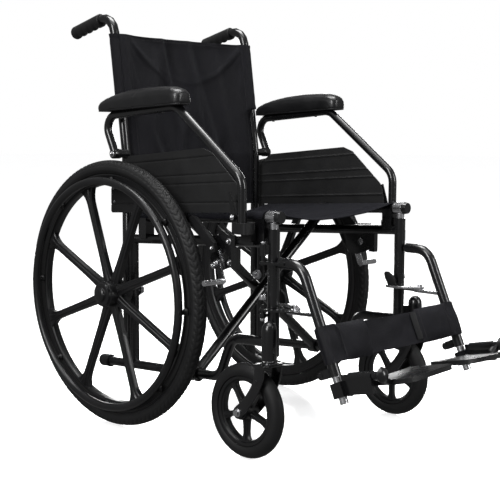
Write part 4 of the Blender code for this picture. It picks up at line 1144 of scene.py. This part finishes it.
def back_panel():
    """Cloth panel between the canes, and its two lower edges. It settles between its held sides, then creases."""
    low, high = 0.492, 0.9

    def point(u, v):
        z = low + (high - low) * v
        x = (2 * u - 1) * (0.2045 + 0.01 * clamped((z - 0.73) / 0.008))
        return (x, back_front(x, z), z)

    sheet = settled(grid_sheet(point, 100, 92), 0.0024, 14, 20.0,
                    lambda co: 1.0 if abs(co.x) > 0.193 else (0.15 if co.z > 0.895 else 0.0), gravity=0.25)
    for vertex in sheet.data.vertices:
        vertex.co.y += 1.5 * creases_at(vertex.co.x, vertex.co.z, 0.152, 0.026)
    sheet = smoothed(sheet)

    def beside_cane(co, sign):
        return sign * co.x > 0.18 and co.z < 0.722

    middle = cut_from(sheet, lambda co: not (beside_cane(co, -1) or beside_cane(co, 1)))
    edges = [cut_from(sheet, lambda co, sign=sign: beside_cane(co, sign)) for sign in (-1, 1)]
    bpy.data.objects.remove(sheet)
    return [thickened(piece, 0.0014) for piece in (middle, *edges)]


def sleeve(z0, z1):
    """Closed cloth shell round a cane: outer skin, inner skin and hems at both ends."""
    count, sides, bore = 70, 40, TUBE_R + 0.0009
    outer_rows, inner_rows = [], []
    for step in range(count + 1):
        share = step / count
        z = z0 + (z1 - z0) * share
        y = cane_y(z)
        wrinkle = 0.0004 * sin(z * 190) * bell(share - 0.1, 0.12)
        wrinkle += 0.0004 * sin(z * 230 + 1) * bell(share - 0.94, 0.09)
        hem = 0.0005 if share < 0.05 or share > 0.955 else 0.0
        outer = []
        for c, s in circle(sides):
            r = 0.0138 + wrinkle + hem + 0.003 * max(0.0, -c) * max(0.0, -s)
            outer.append((FRAME_X + r * c, y + r * s, z))
        outer_rows.append(outer)
        inner_rows.append([(FRAME_X + bore * c, y + bore * s, z) for c, s in circle(sides)])
    rows = outer_rows + list(reversed(inner_rows)) + [outer_rows[0]]
    return lofted(rows, caps=False)


pair("cane_sleeve", sleeve(0.735, 0.9), BACK_CLOTH, "frame", (), 55)
panel, edge_right, edge_left = back_panel()
dressed("back_panel", panel, BACK_CLOTH, None, ["back"], 60)
dressed("back_edge_right", edge_right, BACK_CLOTH, "frame_right", (), 60)
dressed("back_edge_left", edge_left, BACK_CLOTH, "frame_left", (), 60)
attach(panel, "frame_right")
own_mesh(panel)

TOP_HEM_Z = 0.89
FORWARD = (0, -1, 0)
hem_lines = [stitches([(x, back_front(x, z) - 0.0004, z) for z in np.linspace(0.52, 0.896, 60)], FORWARD)
             for x in (-0.1865, 0.1865)]
hem_lines.append(stitches([(x, back_front(x, TOP_HEM_Z) - 0.0006 + creases_at(x, TOP_HEM_Z, 0.165, 0.028), TOP_HEM_Z)
                           for x in np.linspace(-0.184, 0.184, 90)], FORWARD))
back_thread = dressed("back_stitching", merged(*hem_lines), THREAD, "frame_right", (), 60)
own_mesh(back_thread)


SEAT_FRONT, SEAT_REAR = -0.424, -0.03


def seat_height(x):
    """Height of the sling over the rail line at x, before it settles."""
    if abs(x) >= 0.2045:
        return 0.0124
    return 0.0118 - 0.0135 * (1 - (abs(x) / 0.2045) ** 2.4)


def seat_sheet():
    """Sling seat: wrapped over both rails, slack between them, drooping at its front edge."""
    wrap = TUBE_R + 0.0016
    turn = [radians(-8 + 98 * step / 8) for step in range(9)]
    middle = [-0.21 + 0.42 * step / 60 for step in range(1, 60)]
    line = [(-FRAME_X - wrap * cos(angle), wrap * sin(angle)) for angle in turn]
    line += [(x, seat_height(x)) for x in middle]
    line += [(FRAME_X + wrap * cos(angle), wrap * sin(angle)) for angle in reversed(turn)]
    columns = len(line) - 1

    def point(u, v):
        x, h = line[round(u * columns)]
        yy = SEAT_FRONT + (SEAT_REAR - SEAT_FRONT) * v
        inside = max(0.0, 1 - (abs(x) / 0.2) ** 2)
        droop = -0.0055 * inside * bell(v, 0.16)
        return (x, yy, rail_z(yy) + h + droop)

    sheet = settled(grid_sheet(point, columns, 96), 0.007, 14, 16.0, lambda co: 1.0 if abs(co.x) > 0.199 else 0.0,
                    gravity=0.35)
    for vertex in sheet.data.vertices:
        x, y, z = vertex.co
        inside = max(0.0, 1 - (abs(x) / 0.195) ** 4)
        wave = noise.noise(Vector((x * 7, y * 26, 1.7))) * 0.004 + noise.noise(Vector((x * 18, y * 60, 9.1))) * 0.0012
        vertex.co.z = z + wave * inside
    return thickened(smoothed(sheet), 0.0018)


seat = dressed("seat_sling", seat_sheet(), SEAT_CLOTH, None, ["seat"], 60)
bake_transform(seat)


# ---- calf strap -------------------------------------------------------------------------------------------

LEG_DOWN = Vector((0, -sin(LEG_LEAN), -cos(LEG_LEAN)))
LEG_FRONT = Vector((0, -cos(LEG_LEAN), sin(LEG_LEAN)))
STRAP_Z = 0.258
ON_LEG = LEG_ORIGIN + LEG_DOWN * ((LEG_ORIGIN.z - STRAP_Z) / cos(LEG_LEAN))
STRAP_MIDDLE = Vector((0, ON_LEG.y, ON_LEG.z))


def eased(value, start, end):
    share = clamped((value - start) / (end - start))
    return share * share * (3 - 2 * share)


def strap_half(sign, tip_x, flap_x, run_out, seam):
    """One half of the strap: a long run behind, a turn round its leg tube, and a padded flap sewn over the front.

    sign is the side of the tube, tip_x the end of the long run, flap_x the end of the flap and seam the distance
    of its sewn line from the tube."""
    leg = sign * LEG_X
    radius = 0.0136
    line = []
    steps = 44
    for i in range(steps + 1):
        x = tip_x + (leg - tip_x) * i / steps
        away = abs(leg - x)
        line.append((x, run_out - (run_out + radius) * (1 - eased(away, 0.004, 0.06)), 0.0))
    for i in range(1, 16):
        angle = pi * i / 16
        line.append((leg + sign * radius * sin(angle), -cos(angle) * radius, 0.0))
    flap = abs(leg - flap_x)
    for i in range(steps + 1):
        x = leg + (flap_x - leg) * i / steps
        away = abs(leg - x)
        pad = 0.0
        if away > seam:
            share = (away - seam) / (flap - seam)
            pad = sin(pi * min(share, 1.0)) ** 0.55
        out = radius - 0.0012 * bell(away - seam, 0.0035)
        out += (run_out + 0.0042 - radius) * eased(away, seam - 0.01, seam + 0.03)
        line.append((x, out - 0.0016 * eased(away, flap - 0.006, flap), pad))
    columns = len(line) - 1

    def point(u, v):
        place = round(u * columns)
        x, forward, pad = line[place]
        on_flap = clamped((place - steps) / 8)
        tall = 0.069 + 0.0065 * on_flap
        h = (v - 0.5) * tall
        body = max(0.0, 1 - (2 * abs(v - 0.5)) ** 4)
        puff = 0.01 * pad * body
        wave = noise.noise(Vector((x * 20, h * 26, 4.4 + sign + on_flap * 3))) * 0.0034 * body
        pucker = 0.0006 * sin(x * 420) * bell(0.5 - abs(v - 0.5), 0.06) * on_flap
        lift = noise.noise(Vector((x * 9, 2.2, sign + on_flap))) * 0.0016
        out = forward + puff + wave + pucker
        return STRAP_MIDDLE + Vector((x, 0, 0)) + LEG_FRONT * out - LEG_DOWN * (h + lift)

    sheet = settled(grid_sheet(point, columns, 36), 0.002, 10, 20.0,
                    lambda co: 1.0 if abs(abs(co.x) - LEG_X) < 0.024 else 0.12, gravity=0.3)
    turn = cut_from(sheet, lambda co: abs(abs(co.x) - LEG_X) < 0.019)
    runs = cut_from(sheet, lambda co: abs(abs(co.x) - LEG_X) >= 0.019)
    bpy.data.objects.remove(sheet)
    return thickened(runs, 0.0024, 0.0), thickened(turn, 0.0024, 0.0)


def strap_seam(sign, seam, flap_x):
    """Sewn lines of a flap: one beside the leg tube and one round the flap's edge."""
    lines = []
    for x, out in ((sign * (LEG_X - seam), 0.015), (flap_x + sign * 0.0055, 0.0128)):
        lines.append(stitches([STRAP_MIDDLE + Vector((x, 0, 0)) + LEG_FRONT * out - LEG_DOWN * h
                               for h in np.linspace(-0.034, 0.034, 12)], LEG_FRONT, 0.003, 0.0016, 0.0004))
    return merged(*lines)


RUN_OUT = 0.006
NEAR_FLAP_X, NEAR_SEAM = -0.092, 0.034
FAR_FLAP_X, FAR_SEAM = 0.085, 0.03
near_runs, near_turn = strap_half(-1, 0.098, NEAR_FLAP_X, RUN_OUT, NEAR_SEAM)
far_runs, far_turn = strap_half(1, 0.035, FAR_FLAP_X, RUN_OUT - 0.0034, FAR_SEAM)
near = dressed("calf_strap_near", near_runs, STRAP_CLOTH, "leg_hanger_right", ["calf_strap"], 60)
far = dressed("calf_strap_far", far_runs, STRAP_CLOTH, "leg_hanger_left", (), 60)
dressed("calf_strap_turn_near", near_turn, STRAP_CLOTH, "leg_hanger_right", (), 60)
dressed("calf_strap_turn_far", far_turn, STRAP_CLOTH, "leg_hanger_left", (), 60)
near_seam = strap_seam(-1, NEAR_SEAM, NEAR_FLAP_X)
far_seam = strap_seam(1, FAR_SEAM, FAR_FLAP_X)
near_thread = dressed("calf_stitching_near", near_seam, THREAD, "leg_hanger_right", (), 60)
far_thread = dressed("calf_stitching_far", far_seam, THREAD, "leg_hanger_left", (), 60)
pile = plate([(0.064, -0.03), (0.084, -0.03), (0.084, 0.03), (0.064, 0.03)], 0.0014,
             Matrix.Identity(4), 0.0004)
stand = Matrix.Translation(STRAP_MIDDLE + LEG_FRONT * (RUN_OUT + 0.0024))
turn = Matrix((Vector((1, 0, 0)), -LEG_DOWN, -LEG_FRONT)).transposed().to_4x4()
pile.data.transform(stand @ turn)
hook = dressed("calf_strap_hooks", pile, LOOP, "leg_hanger_left", (), 60)
for strap, sign in ((near, -1), (far, 1), (near_thread, -1), (far_thread, 1), (hook, 1)):
    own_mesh(strap)


# ---- floor, light and camera ------------------------------------------------------------------------------

def studio():
    """White floor that is partly lit by itself, bright only to the camera, and lamps round the chair."""
    look = Look("studio floor", (0.85, 0.85, 0.86), 0.22, specular=0.5)
    look.rough(look.noise(3, 2), 0.2, 0.26)
    look.shader.inputs["Emission Color"].default_value = (1.0, 1.0, 1.0, 1.0)
    look.shader.inputs["Emission Strength"].default_value = 0.7
    mesh = bpy.data.meshes.new("floor")
    mesh.from_pydata([(-30, -30, 0), (30, -30, 0), (30, 30, 0), (-30, 30, 0)], [], [(0, 1, 2, 3)])
    floor = add("floor", mesh)
    mesh.materials.append(look.material)
    floor.visible_diffuse = False
    floor.visible_glossy = False

    world = bpy.data.worlds.new("studio")
    bpy.context.scene.world = world
    world.use_nodes = True
    tree = world.node_tree
    background = tree.nodes["Background"]
    background.inputs["Color"].default_value = (1.0, 1.0, 1.0, 1.0)
    seen = tree.nodes.new("ShaderNodeLightPath").outputs["Is Camera Ray"]
    level = tree.nodes.new("ShaderNodeMapRange")
    level.inputs["To Min"].default_value = 0.16
    level.inputs["To Max"].default_value = 1.0
    tree.links.new(seen, level.inputs["Value"])
    tree.links.new(level.outputs["Result"], background.inputs["Strength"])

    def area(name, place, target, size, power):
        lamp = bpy.data.lights.new(name, "AREA")
        lamp.shape = "RECTANGLE"
        lamp.size, lamp.size_y = size
        lamp.energy = power
        made = add(name, lamp)
        made.location = place
        made.rotation_euler = (Vector(target) - Vector(place)).to_track_quat("-Z", "Y").to_euler()
        return made

    area("key", (-3.4, -0.4, 2.2), (0, 0, 0.5), (0.9, 2.4), 75)
    area("fill", (1.2, -3.6, 1.9), (0, 0, 0.5), (0.8, 2.2), 45)
    area("top", (0.2, 0.4, 3.2), (0, 0, 0.3), (1.8, 1.2), 60)
    area("rim", (2.9, 2.6, 0.95), (0, 0, 0.4), (2.6, 0.7), 55).visible_camera = False
    sun = bpy.data.lights.new("overhead", "SUN")
    sun.energy = 1.1
    sun.angle = radians(50)
    add("overhead", sun).rotation_euler = (radians(8), radians(-10), 0)


def camera():
    """The photo's own viewpoint."""
    yaw, pitch, roll = radians(-45.838), radians(6.13), radians(0.258)
    back = Vector((sin(yaw) * cos(pitch), -cos(yaw) * cos(pitch), sin(pitch)))
    right = Vector((cos(yaw), sin(yaw), 0))
    up = back.cross(right)
    right, up = (cos(roll) * right + sin(roll) * up, -sin(roll) * right + cos(roll) * up)
    data = bpy.data.cameras.new("camera")
    data.lens = 76.6
    data.sensor_width = 36.0
    made = add("camera", data)
    turn = Matrix((right, up, back)).transposed().to_4x4()
    made.matrix_world = Matrix.Translation((-1.7957, -1.6832, 0.6663)) @ turn
    bpy.context.scene.camera = made


studio()
camera()
bpy.context.scene.view_settings.view_transform = "Standard"
